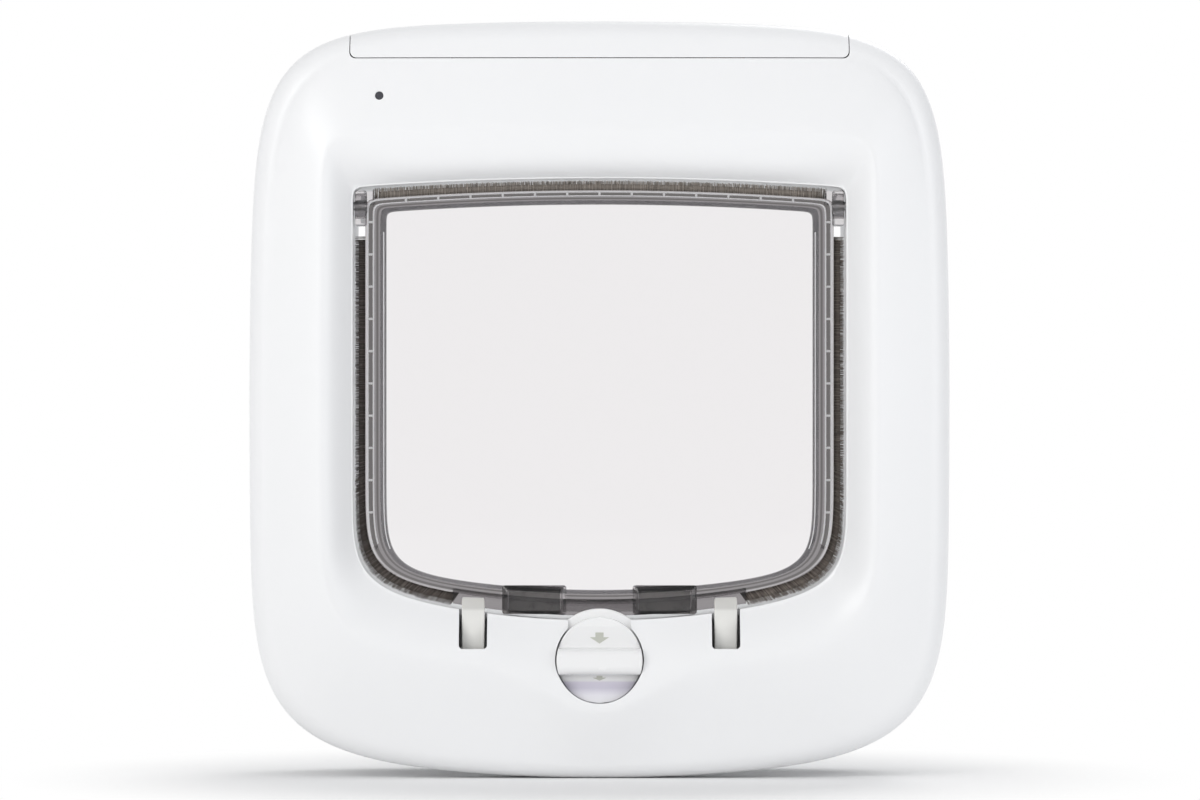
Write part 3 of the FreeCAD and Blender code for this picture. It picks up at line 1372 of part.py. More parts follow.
# Components on the front of the main board: name, width, height, depth and level.
COMPONENTS = (
    ("controller", 10.0, 10.0, 1.6, "board_tall / 9"),
    ("radio_chip", 8.0, 12.0, 1.4, "-board_tall / 8"),
    ("connector", 12.0, 6.0, 5.0, "board_tall / 2 - capacitor_in"),
)
components = []
for name, wide, tall, proud, level in COMPONENTS:
    components.append(box(
        name, (str(wide), str(proud), str(tall)),
        ("-board_at - %g / 2" % wide, "-board_back - board_thick - %g" % proud, "%s - %g / 2" % (level, tall)),
    ))
components.append(rod(
    "capacitor", "capacitor_radius", "capacitor_long",
    ("-board_at", "-board_back - board_thick - capacitor_long", "-board_tall / 2 + capacitor_in"),
))
keep(group("board_components", components), "board_parts")

board_screw = fuse("board_screw", [
    rod(
        "board_screw_shank", "board_screw_radius", "board_back - plate + board_thick - recess_gap",
        ("-board_at", "-board_back - board_thick", "board_tall / 2 - board_screw_in"),
    ),
    rod(
        "board_screw_head", "board_screw_head", "board_thick",
        ("-board_at", "-board_back - 2 * board_thick", "board_tall / 2 - board_screw_in"),
    ),
])
keep(group("board_screw_set", [
    board_screw, mirror("board_screw_low", board_screw, (0, 0, 1)),
]), "board_screws")

small_blank = box(
    "small_blank",
    ("small_board_wide", "board_thick", "small_board_tall"),
    ("-light_at - small_board_wide / 2", "-board_back - board_thick", "small_board_low"),
)
switch_blank = box(
    "switch_blank",
    ("switch_side", "switch_side", "switch_tall"),
    (
        "-switch_at - switch_side / 2",
        "-board_back - board_thick - switch_side",
        "small_board_low + small_board_tall - switch_tall",
    ),
)
switch_bore = rod(
    "switch_bore", "button_radius + button_gap", "button_sunk + button_travel + button_gap + 1",
    (
        "-switch_at",
        "-board_back - board_thick - switch_side / 2",
        "small_board_low + small_board_tall - button_sunk - button_travel - button_gap",
    ), "z",
)
keep(cut("small_board", fuse("small_board_blank", [small_blank, switch_blank]), switch_bore), "indicator_board")
keep(fuse("light", [
    rod(
        "light_pipe", "light_radius", "light_front - board_back - board_thick",
        ("-light_at", "-light_front", "light_up"),
    ),
    rod(
        "light_foot", "light_base", "2 * board_thick",
        ("-light_at", "-board_back - 3 * board_thick", "light_up"),
    ),
]), "status_led")
keep(rod(
    "button_cap", "button_radius", "button_long",
    (
        "-switch_at",
        "-board_back - board_thick - switch_side / 2",
        "small_board_low + small_board_tall - button_sunk",
    ), "z",
), "learn_button")

# Fasteners

quarter_turn = FreeCAD.Rotation(Vector(0, 0, 1), 90)
screw_body = turned("screw_blank", [
    ("-screw_end", "0"),
    ("-screw_end", "screw_radius"),
    ("door + screw_seat", "screw_radius"),
    ("door + screw_seat", "screw_head_radius"),
    ("door + screw_seat + screw_head", "screw_head_radius * 0.8"),
    ("door + screw_seat + screw_head", "0"),
])
mounting_screw = group("mounting_screw", [screw_body])
place(mounting_screw, ("screw_at", "0", "screw_up"), quarter_turn)
keep(four_corners("mounting_screw_set", mounting_screw), "mounting_screws")
screw_cap = rod(
    "screw_cap", "screw_head_radius + recess_gap - cap_gap", "cap_thick",
    ("screw_at", "door + outside_depth - outside_wall / 2 - cap_thick", "screw_up"),
)
keep(four_corners("screw_cap_set", screw_cap), "screw_caps")

case_body = turned("case_blank", [
    ("-case_long", "0"),
    ("-case_long", "case_radius"),
    ("-case_head", "case_radius"),
    ("-screw_gap", "case_head_radius - screw_gap"),
    ("-screw_gap", "0"),
])
case_set = []
for name, across, up in (
    ("side", "case_side_at", "0"),
    ("top", "case_top_at", "case_top_up"),
    ("low", "case_low_at", "-case_low_down"),
):
    case_screw = group("case_screw_" + name, [case_body])
    place(case_screw, (across, "0", up), quarter_turn)
    case_set.append(both_sides("case_screws_" + name, case_screw))
keep(group("case_screw_set", case_set), "case_screws")

# Check everything, then write one file for each sub-part

doc.recompute()
for thing in doc.Objects:
    if "Invalid" in thing.State or "Error" in thing.State:
        raise RuntimeError("%s failed: %s" % (thing.Name, thing.State))
for sub_part in sub_parts:
    shape = sub_part.Shape
    if shape.isNull() or not shape.isValid() or not shape.Solids:
        raise RuntimeError("%s has no valid solid" % sub_part.Label)

os.makedirs("parts", exist_ok=True)
for sub_part in sub_parts:
    sub_part.Shape.exportStep("parts/%s.step" % sub_part.Label)
print("wrote %d sub-parts" % len(sub_parts))
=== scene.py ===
import math
from collections import namedtuple

import bmesh
import bpy
import numpy as np
from bpy.props import FloatProperty, FloatVectorProperty, IntProperty, PointerProperty
from bpy.types import Operator, Panel, PropertyGroup
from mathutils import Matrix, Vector


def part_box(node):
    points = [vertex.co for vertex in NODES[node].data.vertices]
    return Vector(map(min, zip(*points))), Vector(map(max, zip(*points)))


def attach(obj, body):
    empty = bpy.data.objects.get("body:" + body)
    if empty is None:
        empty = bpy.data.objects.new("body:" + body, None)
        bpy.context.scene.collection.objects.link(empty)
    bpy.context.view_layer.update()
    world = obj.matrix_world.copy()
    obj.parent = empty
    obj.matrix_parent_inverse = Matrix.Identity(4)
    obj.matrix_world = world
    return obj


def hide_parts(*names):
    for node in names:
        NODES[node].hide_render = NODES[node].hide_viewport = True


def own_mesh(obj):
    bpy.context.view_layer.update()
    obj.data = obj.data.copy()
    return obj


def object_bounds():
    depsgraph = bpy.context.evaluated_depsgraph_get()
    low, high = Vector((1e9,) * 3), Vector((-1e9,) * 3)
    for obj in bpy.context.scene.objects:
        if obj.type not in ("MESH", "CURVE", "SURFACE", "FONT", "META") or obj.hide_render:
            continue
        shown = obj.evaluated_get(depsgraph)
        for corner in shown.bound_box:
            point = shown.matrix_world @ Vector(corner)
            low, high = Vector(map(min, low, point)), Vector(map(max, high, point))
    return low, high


bl_info = {
    "name": "Cat flap looks",
    "version": (1, 0, 0),
    "blender": (4, 5, 0),
    "location": "3D View > Sidebar > Cat flap",
    "description": "Dresses a cat flap's solids with smooth mouldings, clear plastic, brush pile and finishes",
    "category": "Object",
}

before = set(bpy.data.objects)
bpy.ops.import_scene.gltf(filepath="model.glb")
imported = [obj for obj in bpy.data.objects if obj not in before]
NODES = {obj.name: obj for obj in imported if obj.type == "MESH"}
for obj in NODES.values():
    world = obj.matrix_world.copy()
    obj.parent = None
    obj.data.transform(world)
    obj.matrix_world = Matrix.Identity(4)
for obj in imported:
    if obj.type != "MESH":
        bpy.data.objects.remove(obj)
CAD_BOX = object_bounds()
FRAME_LOW, FRAME_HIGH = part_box("interior_frame")
OUTSIDE_LOW, OUTSIDE_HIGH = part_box("exterior_frame")
DIAL_LOW, DIAL_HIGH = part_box("lock_dial")
COVER_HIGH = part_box("battery_cover")[1]
LATCH_LOW, LATCH_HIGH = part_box("latch_right")
PILE_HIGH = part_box("pile_top")[1]
MAGNET_LOW, MAGNET_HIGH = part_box("flap_magnet_right")

# Outlines

# Every ring of the mouldings follows one kind of outline: a rectangle whose sides and ends
# bow inwards, with corners rounded by a power as a superellipse has them.
OutlineBase = namedtuple(
    "OutlineBase",
    "half_width up down side_bow_up side_bow_down end_bow_up end_bow_down power_up power_down bulge",
)
BULGE_WIDTH = 0.024
CORNER_ANGLE = 0.73
CORNER_SPREAD = 0.10
CORNER_WEIGHT = 5.0
HALVINGS = 44


class Outline(OutlineBase):
    def inset(self, side, top=None, bottom=None):
        """The outline drawn in by an amount, or out if it is negative."""
        return self._replace(
            half_width=self.half_width - side,
            up=self.up - (side if top is None else top),
            down=self.down - (side if bottom is None else bottom),
        )

    def shrunk(self, share):
        """The outline drawn together towards its middle."""
        return self._replace(
            half_width=self.half_width * share, up=self.up * share, down=self.down * share,
            end_bow_up=self.end_bow_up * share, end_bow_down=self.end_bow_down * share,
        )

    def blend(self, other, share):
        """The outline part of the way to another one."""
        return Outline(*[a + (b - a) * share for a, b in zip(self, other)])

    def ring(self, angles):
        """X and Z where rays at these angles meet the outline, found by halving a range of lengths."""
        across, along = np.abs(np.cos(angles)), np.abs(np.sin(angles))
        above = np.sin(angles) >= 0
        height = np.where(above, self.up, self.down)
        side_bow = np.where(above, self.side_bow_up, self.side_bow_down)
        end_bow = np.where(above, self.end_bow_up, self.end_bow_down)
        power = np.where(above, self.power_up, self.power_down)
        low, high = np.zeros_like(angles), self.half_width + height
        for _ in range(HALVINGS):
            middle = (low + high) / 2
            x, z = middle * across, middle * along
            side = self.half_width - side_bow * (z / height) ** 2
            end = height - end_bow * (x / self.half_width) ** 2
            end = end + np.where(above, 0.0, self.bulge * np.exp(-((x / BULGE_WIDTH) ** 2)))
            outside = (x / side) ** power + (z / end) ** power > 1
            high = np.where(outside, middle, high)
            low = np.where(outside, low, middle)
        return low * np.cos(angles), low * np.sin(angles)


SKIN_MARGIN = 0.00002
FRAME = Outline(
    FRAME_HIGH.x - SKIN_MARGIN, FRAME_HIGH.z - SKIN_MARGIN, -FRAME_LOW.z - SKIN_MARGIN,
    0.0038, 0.0018, 0.0046, 0.0122, 6.9, 6.5, 0.0,
)
CREST = Outline(0.0948, 0.092, 0.091, 0.0005, 0.0005, 0.0015, 0.009, 16.0, 8.0, 0.015)
OPENING = Outline(0.084, 0.0753, 0.0752, 0.0, 0.0, 0.0031, 0.0117, 60.0, 9.0, 0.0)
FLAP = OPENING.inset(0.0041, 0.0039, 0.0054)._replace(end_bow_down=0.0101)
WINDOW = Outline(0.0728, 0.0666, 0.0651, 0.0, 0.0, 0.0026, 0.0075, 75.0, 10.0, 0.0)

CREST_Y = -0.026
RIM_STRAIGHT = 0.0085
RIM_ROUND = 0.009
RIM_TURN = math.radians(70)
LIP_Y = -0.0172
LIP_BACK_Y = -0.012
LIP_ROUND = 0.00045
FLANGE_CROWN = 1.15
DISH_BACK_SHARE = 0.68
DISH_BACK_SLOPE = 1.25
# The dish's fall at the sides and foot, and along the top: share that steepens, and its power.
DISH_STEEP, DISH_POWER = 0.7, 2.1
TOP_STEEP, TOP_POWER = 0.72, 5.0
# Sines of the angles between which the sides' fall gives way to the top's.
TOP_FROM, TOP_FULL = 0.62, 0.80


def corner_weighted(count):
    """Angles once round, closer together where the outlines turn their corners."""
    fine = np.linspace(0, 2 * math.pi, 6001)
    density = np.ones_like(fine)
    for corner in (CORNER_ANGLE, math.pi - CORNER_ANGLE, math.pi + CORNER_ANGLE, -CORNER_ANGLE):
        away = (fine - corner + math.pi) % (2 * math.pi) - math.pi
        density += CORNER_WEIGHT * np.exp(-((away / CORNER_SPREAD) ** 2))
    total = np.concatenate([[0], np.cumsum((density[1:] + density[:-1]) / 2)])
    return np.interp(np.arange(count) / count * total[-1], total, fine)


def ring_rows(rows, angles):
    """A grid of points from (outline, depth) rows. A depth is one number or one for each angle."""
    grid = []
    for outline, depth in rows:
        x, z = outline.ring(angles)
        grid.append(np.stack([x, np.broadcast_to(depth, x.shape), z], axis=-1))
    return np.stack(grid)


def smooth_step(value):
    """Rises from 0 to 1 with a level start and end: three squares less two cubes."""
    value = np.clip(value, 0.0, 1.0)
    return value * value * (3 - 2 * value)


def dish_fall(share, angles):
    """The dish's fall from crest to lip, for each angle.

    At the sides and foot it is part a smooth step of the share, part a power of it. Along the top it
    is part even and part a higher power, so it stays shallow and turns down close to the lip."""
    side = (1 - DISH_STEEP) * smooth_step(share) + DISH_STEEP * share ** DISH_POWER
    top = (1 - TOP_STEEP) * share + TOP_STEEP * share ** TOP_POWER
    weight = smooth_step((np.sin(angles) - TOP_FROM) / (TOP_FULL - TOP_FROM))
    return side + (top - side) * weight


# Meshes

SHARP_ANGLE = 32.0


def new_object(name, vertices, faces, material, sharp_angle=SHARP_ANGLE, mend=True):
    """An object at the origin from points and faces, with its normals set outwards and smooth shading."""
    mesh = bpy.data.meshes.new(name)
    mesh.from_pydata(vertices.reshape(-1, 3).tolist(), [], faces)
    if mend:
        work = bmesh.new()
        work.from_mesh(mesh)
        bmesh.ops.remove_doubles(work, verts=work.verts, dist=1e-7)
        bmesh.ops.dissolve_degenerate(work, dist=1e-8, edges=work.edges)
        bmesh.ops.recalc_face_normals(work, faces=work.faces)
        work.to_mesh(mesh)
        work.free()
    return place_mesh(name, mesh, material, sharp_angle)


def place_mesh(name, mesh, material, sharp_angle):
    """Shades a mesh smooth up to an angle, and puts it into the scene with its material."""
    mesh.shade_smooth()
    mesh.set_sharp_from_angle(angle=math.radians(sharp_angle))
    mesh.materials.clear()
    if material:
        mesh.materials.append(material)
    thing = bpy.data.objects.new(name, mesh)
    bpy.context.scene.collection.objects.link(thing)
    return thing


def grid_faces(rows, columns, wrap_rows, wrap_columns, start=0):
    """The four-sided faces between neighbours of a grid, joined round where it wraps."""
    row = np.arange(rows if wrap_rows else rows - 1)
    column = np.arange(columns if wrap_columns else columns - 1)
    r, c = np.meshgrid(row, column, indexing="ij")
    next_r, next_c = (r + 1) % rows, (c + 1) % columns
    quads = np.stack([r * columns + c, r * columns + next_c, next_r * columns + next_c, next_r * columns + c], -1)
    return (quads.reshape(-1, 4) + start).tolist()


def cap_faces(rows, columns, start=0):
    """The two faces that close the first and the last row of a grid."""
    return [list(range(first, first + columns)) for first in (start, start + (rows - 1) * columns)]


def grid_object(name, points, material, wrap_rows=False, wrap_columns=True, caps=False):
    """A surface over a grid of points. Caps close its first and last rows."""
    rows, columns = points.shape[:2]
    faces = grid_faces(rows, columns, wrap_rows, wrap_columns)
    if caps:
        faces += cap_faces(rows, columns)
    return new_object(name, points, faces, material)


def rounded_path(points, radii, steps=5):
    """A line through corners, each rounded by an arc of a radius that touches both its sides."""
    points = np.asarray(points, float)
    out = [points[:1]]
    for before, corner, after, radius in zip(points, points[1:], points[2:], radii):
        back, ahead = before - corner, after - corner
        back_long, ahead_long = np.linalg.norm(back), np.linalg.norm(ahead)
        back, ahead = back / back_long, ahead / ahead_long
        half = math.acos(max(-1.0, min(1.0, float(back @ ahead)))) / 2
        if radius <= 0 or half > math.pi / 2 - 0.01:
            out.append(corner[None])
            continue
        reach = min(radius / math.tan(half), 0.49 * back_long, 0.49 * ahead_long)
        radius = reach * math.tan(half)
        centre = corner + (back + ahead) / np.linalg.norm(back + ahead) * radius / math.sin(half)
        start, end = corner + back * reach - centre, corner + ahead * reach - centre
        sweep = math.pi - 2 * half
        share = np.linspace(0, 1, steps + 1)[:, None]
        arc = (np.sin((1 - share) * sweep) * start + np.sin(share * sweep) * end) / math.sin(sweep)
        out.append(centre + arc)
    out.append(points[-1:])
    return np.concatenate(out)


def rounded_rectangle(low_a, high_a, low_b, high_b, radius, steps=5):
    """Corners of a rectangle in two directions, each turned as a quarter circle."""
    angle = np.linspace(0, math.pi / 2, steps + 1)
    out = []
    for quarter, (a, b) in enumerate((
        (high_a - radius, high_b - radius), (low_a + radius, high_b - radius),
        (low_a + radius, low_b + radius), (high_a - radius, low_b + radius),
    )):
        turn = angle + quarter * math.pi / 2
        out.append(np.stack([a + radius * np.cos(turn), b + radius * np.sin(turn)], -1))
    return np.concatenate(out)


def prism(name, section, near, far, material=None):
    """A section in X and Z pushed through from one depth to another."""
    levels = [np.insert(section, 1, depth, axis=1) for depth in (near, far)]
    return grid_object(name, np.stack(levels), material, caps=True)


def circle(x, z, radius, count=64):
    """Points on a circle in X and Z."""
    angle = np.arange(count) / count * 2 * math.pi
    return np.stack([x + radius * np.cos(angle), z + radius * np.sin(angle)], -1)


def soft_block(name, low, high, radius, material, steps=4):
    """A block whose edges are rounded: rings of a rounded rectangle whose inset follows a quarter circle."""
    turn = np.linspace(0, math.pi / 2, steps + 1)
    insets = np.concatenate([radius * (1 - np.sin(turn)), radius * (1 - np.cos(turn))])
    levels = np.concatenate([low[1] + radius * (1 - np.cos(turn)), high[1] - radius * (1 - np.sin(turn))])
    rings = []
    for inset, level in zip(insets, levels):
        section = rounded_rectangle(
            low[0] + inset, high[0] - inset, low[2] + inset, high[2] - inset, max(radius - inset, radius * 0.15)
        )
        rings.append(np.insert(section, 1, level, axis=1))
    return grid_object(name, np.stack(rings), material, caps=True)


def turned(name, profile, angles, centre, material, closed=True):
    """A profile of (radius, depth) points swept by angles about an axis along Y."""
    radius, depth = profile[:, 0], profile[:, 1]
    x = centre[0] + radius[None] * np.cos(angles)[:, None]
    z = centre[1] + radius[None] * np.sin(angles)[:, None]
    grid = np.stack([x, np.broadcast_to(depth, x.shape), z], -1)
    return grid_object(name, grid, material, wrap_rows=closed, wrap_columns=True, caps=not closed)


def turn_outwards(thing):
    """Points a closed mesh's faces outwards without moving or merging its points."""
    work = bmesh.new()
    work.from_mesh(thing.data)
    bmesh.ops.recalc_face_normals(work, faces=work.faces)
    work.to_mesh(thing.data)
    work.free()


def discard(things):
    """Removes objects with their meshes."""
    for thing in things:
        mesh = thing.data
        bpy.data.objects.remove(thing)
        bpy.data.meshes.remove(mesh)


def joined(name, things):
    """One object of the meshes of several, which are then removed."""
    work = bmesh.new()
    for thing in things:
        work.from_mesh(thing.data)
    mesh = bpy.data.meshes.new(name)
    work.to_mesh(mesh)
    work.free()
    result = place_mesh(name, mesh, things[0].data.materials[0], SHARP_ANGLE)
    discard(things)
    return result


def carved(thing, cutters, operation="DIFFERENCE"):
    """A piece with cutting solids taken away, or kept to what lies inside them. The cutters are removed."""
    for cutter in cutters:
        carve = thing.modifiers.new(cutter.name, "BOOLEAN")
        carve.operation = operation
        carve.solver = "EXACT"
        carve.object = cutter
    evaluated = thing.evaluated_get(bpy.context.evaluated_depsgraph_get())
    mesh = bpy.data.meshes.new_from_object(evaluated)
    name, material = thing.name, thing.data.materials[0]
    discard([thing, *cutters])
    return place_mesh(name, mesh, material, SHARP_ANGLE)


def stand_for(thing, body, slot, *nodes):
    """A piece rides on its body and stands for solids of the frame, which are hidden. Its slot is not used."""
    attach(thing, body)
    if nodes:
        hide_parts(*nodes)


# Shaders


def new_node(tree, kind, entries=None, **fields):
    """A shader node with its fields set, and its entries set to values or linked to sockets."""
    node = tree.nodes.new("ShaderNode" + kind)
    for field, value in fields.items():
        setattr(node, field, value)
    for entry, value in (entries or {}).items():
        if isinstance(value, bpy.types.NodeSocket):
            tree.links.new(value, node.inputs[entry])
        else:
            node.inputs[entry].default_value = value
    return node


def object_place(tree):
    return new_node(tree, "TexCoord").outputs["Object"]


def math_node(tree, operation, first, second=0.0, clamp=False):
    """A Math node on sockets or numbers."""
    return new_node(tree, "Math", {0: first, 1: second}, operation=operation, use_clamp=clamp).outputs[0]


def noise(tree, place, scale, detail=3.0, roughness=0.55):
    entries = {"Vector": place, "Scale": scale, "Detail": detail, "Roughness": roughness}
    return new_node(tree, "TexNoise", entries).outputs["Fac"]


def varied(tree, pattern, amount, base, clamp=False):
    """A base value that goes up and down by an amount, as a pattern does about a half."""
    swing = math_node(tree, "MULTIPLY", math_node(tree, "SUBTRACT", pattern, 0.5), amount)
    return math_node(tree, "ADD", swing, base, clamp)


def between(tree, value, low, high, **fields):
    """How far a value has come from one level to another, from 0 to 1."""
    entries = {"Value": value, "From Min": low, "From Max": high}
    return new_node(tree, "MapRange", entries, **fields).outputs["Result"]


def mixed(tree, mask, first, second):
    """A first colour that gives way to a second as a mask goes from 0 to 1."""
    return new_node(tree, "Mix", {"Factor": mask, 6: first, 7: second}, data_type="RGBA").outputs[2]


def ramp(tree, value, stops):
    """A colour that follows a value from 0 to 1 through (value, colour) stops."""
    node = new_node(tree, "ValToRGB", {"Fac": value})
    elements = node.color_ramp.elements
    elements[0].color, elements[1].color = (*stops[0][1], 1.0), (*stops[-1][1], 1.0)
    for level, colour in stops[1:-1]:
        elements.new(level).color = (*colour, 1.0)
    return node.outputs["Color"]


def bump(tree, height, strength, distance, **others):
    """A normal that follows a height."""
    entries = {"Height": height, "Strength": strength, "Distance": distance, **others}
    return new_node(tree, "Bump", entries).outputs["Normal"]


def skin_group(name, entries, build):
    """A shader node group that gives the colour, roughness and normal of a skin at a place."""
    group = bpy.data.node_groups.get(name)
    if group:
        return group
    group = bpy.data.node_groups.new(name, "ShaderNodeTree")
    group.interface.new_socket(name="Place", in_out="INPUT", socket_type="NodeSocketVector")
    for label, value in entries.items():
        kind = "NodeSocketColor" if isinstance(value, tuple) else "NodeSocketFloat"
        group.interface.new_socket(name=label, in_out="INPUT", socket_type=kind).default_value = value
    for label, kind in (("Colour", "Color"), ("Roughness", "Float"), ("Normal", "Vector")):
        group.interface.new_socket(name=label, in_out="OUTPUT", socket_type="NodeSocket" + kind)
    given = group.nodes.new("NodeGroupInput").outputs
    result = group.nodes.new("NodeGroupOutput").inputs
    for label, socket in zip(("Colour", "Roughness", "Normal"), build(group, given)):
        group.links.new(socket, result[label])
    return group


def moulded_skin(group, given):
    """A moulding: a slow drift of tone, patchy gloss and the fine peel of the mould."""
    place = given["Place"]
    tone = varied(group, noise(group, place, 14.0), given["Drift"], 1.0)
    tint = new_node(group, "VectorMath", {0: given["Colour"], "Scale": tone}, operation="SCALE")
    gloss = varied(group, noise(group, place, 90.0, 4.0), given["Patchiness"], given["Roughness"], True)
    return tint.outputs[0], gloss, bump(group, noise(group, place, 900.0, 2.0), given["Peel"], 0.00005)


def worn_metal(group, given):
    """Drawn or plated metal: fine lines along one direction, dull spots and a little tarnish."""
    stretch = new_node(group, "Mapping", {"Vector": given["Place"], "Scale": (1.0, 0.06, 1.0)})
    lines = noise(group, stretch.outputs["Vector"], 2600.0, 3.0)
    spots = between(group, noise(group, given["Place"], 260.0, 5.0, 0.7), 0.52, 0.8)
    colour = mixed(group, spots, given["Colour"], given["Tarnish"])
    return colour, varied(group, lines, given["Lines"], given["Roughness"], True), bump(group, lines, 0.35, 0.00004)


# Materials

# Plastics: colour, roughness, drift of tone, patchiness of the gloss, peel, and further entries of the shader.
PLASTICS = {
    "rear_white": ((0.86, 0.87, 0.88), 0.48, 0.03, 0.1, 0.12),
    "ivory_bar": ((0.80, 0.79, 0.745), 0.34, 0.05, 0.1, 0.08),
    "mark_print": ((0.56, 0.57, 0.51), 0.6, 0.08, 0.1, 0.1),
    # The frosted white serves the ladder's ribs, and the rail's fine lines as painted highlights.
    "frosted_rib_and_highlight": ((0.80, 0.79, 0.80), 0.35, 0.08, 0.1, 0.1, {"Transmission Weight": 0.35, "IOR": 1.45}),
    "chip_black": ((0.03, 0.03, 0.032), 0.55, 0.2, 0.15, 0.5),
    "tray_black": ((0.045, 0.045, 0.048), 0.5, 0.15, 0.12, 0.3),
    "smoked_lens": ((0.045, 0.045, 0.055), 0.16, 0.1, 0.05, 0.03, {"Coat Weight": 0.6, "Coat Roughness": 0.05}),
    "key_blue": ((0.10, 0.14, 0.42), 0.6, 0.1, 0.1, 0.3),
}
# Metals and ferrite: colour, tarnish, roughness, strength of the drawn lines, and how metallic.
METALS = {
    "zinc_plate": ((0.66, 0.67, 0.66), (0.40, 0.39, 0.35), 0.3, 0.25, 1.0),
    "drawn_steel": ((0.50, 0.50, 0.51), (0.27, 0.25, 0.23), 0.32, 0.3, 1.0),
    "magnet_ferrite": ((0.50, 0.485, 0.47), (0.24, 0.23, 0.22), 0.6, 0.1, 0.0),
}
# Over this height at their top the latch tongues are painted darker, as painted shade where they stand before the flap;
# below it they are painted lighter towards the slot's foot, as painted light against the slot's shade.
LATCH_PAINTED_SHADE = 0.0047
# Levels above the dial's axis, and the colours there: the lower slope below the grip carries a cool, darker band of
# painted shade.
DIAL_SHADE_TONES = (
    (-0.0146, (0.93, 0.93, 0.95)), (-0.0120, (0.87, 0.86, 0.91)), (-0.0095, (0.66, 0.635, 0.735)),
    (-0.0076, (0.74, 0.71, 0.81)), (-0.0068, (0.90, 0.90, 0.90)),
)
CELL_LONG = 0.0505
CELL_BAND = 0.72


def new_material(name, shader=None):
    """A material with entries of its Principled shader set, and its node tree and that shader."""
    material = bpy.data.materials.new(name)
    material.use_nodes = True
    tree = material.node_tree
    surface = tree.nodes["Principled BSDF"]
    for label, value in (shader or {}).items():
        surface.inputs[label].default_value = value
    return material, tree, surface


def skinned(name, group, entries, shader=None):
    """A material whose shader takes its colour, roughness and normal from a skin's group."""
    material, tree, surface = new_material(name, shader)
    skin = new_node(tree, "Group", {"Place": object_place(tree), **entries}, name="skin", node_tree=group)
    for result, entry in (("Colour", "Base Color"), ("Roughness", "Roughness"), ("Normal", "Normal")):
        tree.links.new(skin.outputs[result], surface.inputs[entry])
    return material


def moulded(name, colour, roughness, drift, patchiness, peel, shader=None):
    """A moulded plastic in one colour."""
    group = skin_group("moulded_skin", {
        "Colour": (0.9, 0.9, 0.9, 1), "Drift": 0.03, "Roughness": 0.3, "Patchiness": 0.08, "Peel": 0.05,
    }, moulded_skin)
    return skinned(name, group, {
        "Colour": (*colour, 1.0), "Drift": drift, "Roughness": roughness, "Patchiness": patchiness, "Peel": peel,
    }, shader)


def metal(name, colour, tarnish, roughness, lines, metallic=1.0):
    """A metal with drawn lines and dull spots."""
    group = skin_group("worn_metal", {
        "Colour": (0.6, 0.6, 0.6, 1), "Tarnish": (0.3, 0.28, 0.26, 1), "Roughness": 0.3, "Lines": 0.2,
    }, worn_metal)
    return skinned(name, group, {
        "Colour": (*colour, 1.0), "Tarnish": (*tarnish, 1.0), "Roughness": roughness, "Lines": lines,
    }, {"Metallic": metallic})


def toned(name, stops, roughness, shader=None):
    """A moulded plastic whose colour follows the height, through (height, colour) stops from low to high."""
    material = moulded(name, stops[0][1], roughness, 0.04, 0.1, 0.06, shader)
    tree = material.node_tree
    parts = new_node(tree, "SeparateXYZ", {"Vector": object_place(tree)})
    low, high = stops[0][0], stops[-1][0]
    height = between(tree, parts.outputs["Z"], low, high)
    shares = [((level - low) / (high - low), colour) for level, colour in stops]
    tree.links.new(ramp(tree, height, shares), tree.nodes["skin"].inputs["Colour"])
    return material


def two_coloured(material, mask, colour):
    """Adds a second colour to a moulded plastic where a mask is 1."""
    tree = material.node_tree
    mix = mixed(tree, mask, tree.nodes["skin"].outputs["Colour"], (*colour, 1.0))
    tree.links.new(mix, tree.nodes["Principled BSDF"].inputs["Base Color"])
    return material


def white_shell(name):
    """The white mouldings, as the settings say."""
    settings = bpy.context.scene.cat_flap.moulding
    return moulded(
        name, settings.colour, settings.roughness, 0.018, 0.06, 0.05, {"Coat Weight": 0.07, "Coat Roughness": 0.2}
    )


def ivory_latch(name):
    """Latch tongues: yellowed ivory, with painted shade over the top where they stand before the flap, and painted
    light that grows down towards the slot's foot.
    """
    edge = LATCH_HIGH.z - LATCH_PAINTED_SHADE
    return toned(name, (
        (SLOT_BOTTOM_Z, (0.95, 0.945, 0.91)), ((SLOT_BOTTOM_Z + edge) / 2, (0.87, 0.865, 0.83)),
        (edge, (0.78, 0.775, 0.745)), (edge + 0.001, (0.61, 0.60, 0.575)),
    ), 0.34)


def dial_white(name):
    # The dial's white, with a band of painted shade on the lower slope below the grip.
    return toned(name, [(DIAL_Z + level, colour) for level, colour in DIAL_SHADE_TONES], 0.26, {"Coat Weight": 0.2})


def clear_plastic(name):
    """Clear moulding. Its mesh's attribute shade says how deep the tint is, from the pane's own tint over the rail's,
    which is partly painted shade, to the groove's, which is painted shade.
    """
    settings = bpy.context.scene.cat_flap.flap
    material, tree, surface = new_material(name, {
        "Transmission Weight": 1.0, "IOR": 1.45, "Specular IOR Level": 0.5,
    })
    shade = new_node(tree, "Attribute", attribute_name="shade").outputs["Fac"]
    tint = ramp(tree, shade, ((0.0, settings.pane_tint), (0.5, settings.rail_tint), (1.0, settings.groove_shade)))
    place = object_place(tree)
    smear = math_node(tree, "MULTIPLY", noise(tree, place, 60.0, 4.0), 0.07)
    tree.links.new(tint, surface.inputs["Base Color"])
    tree.links.new(math_node(tree, "MAXIMUM", smear, 0.015), surface.inputs["Roughness"])
    tree.links.new(bump(tree, noise(tree, place, 40.0, 2.0), 0.04, 0.0001), surface.inputs["Normal"])
    return material


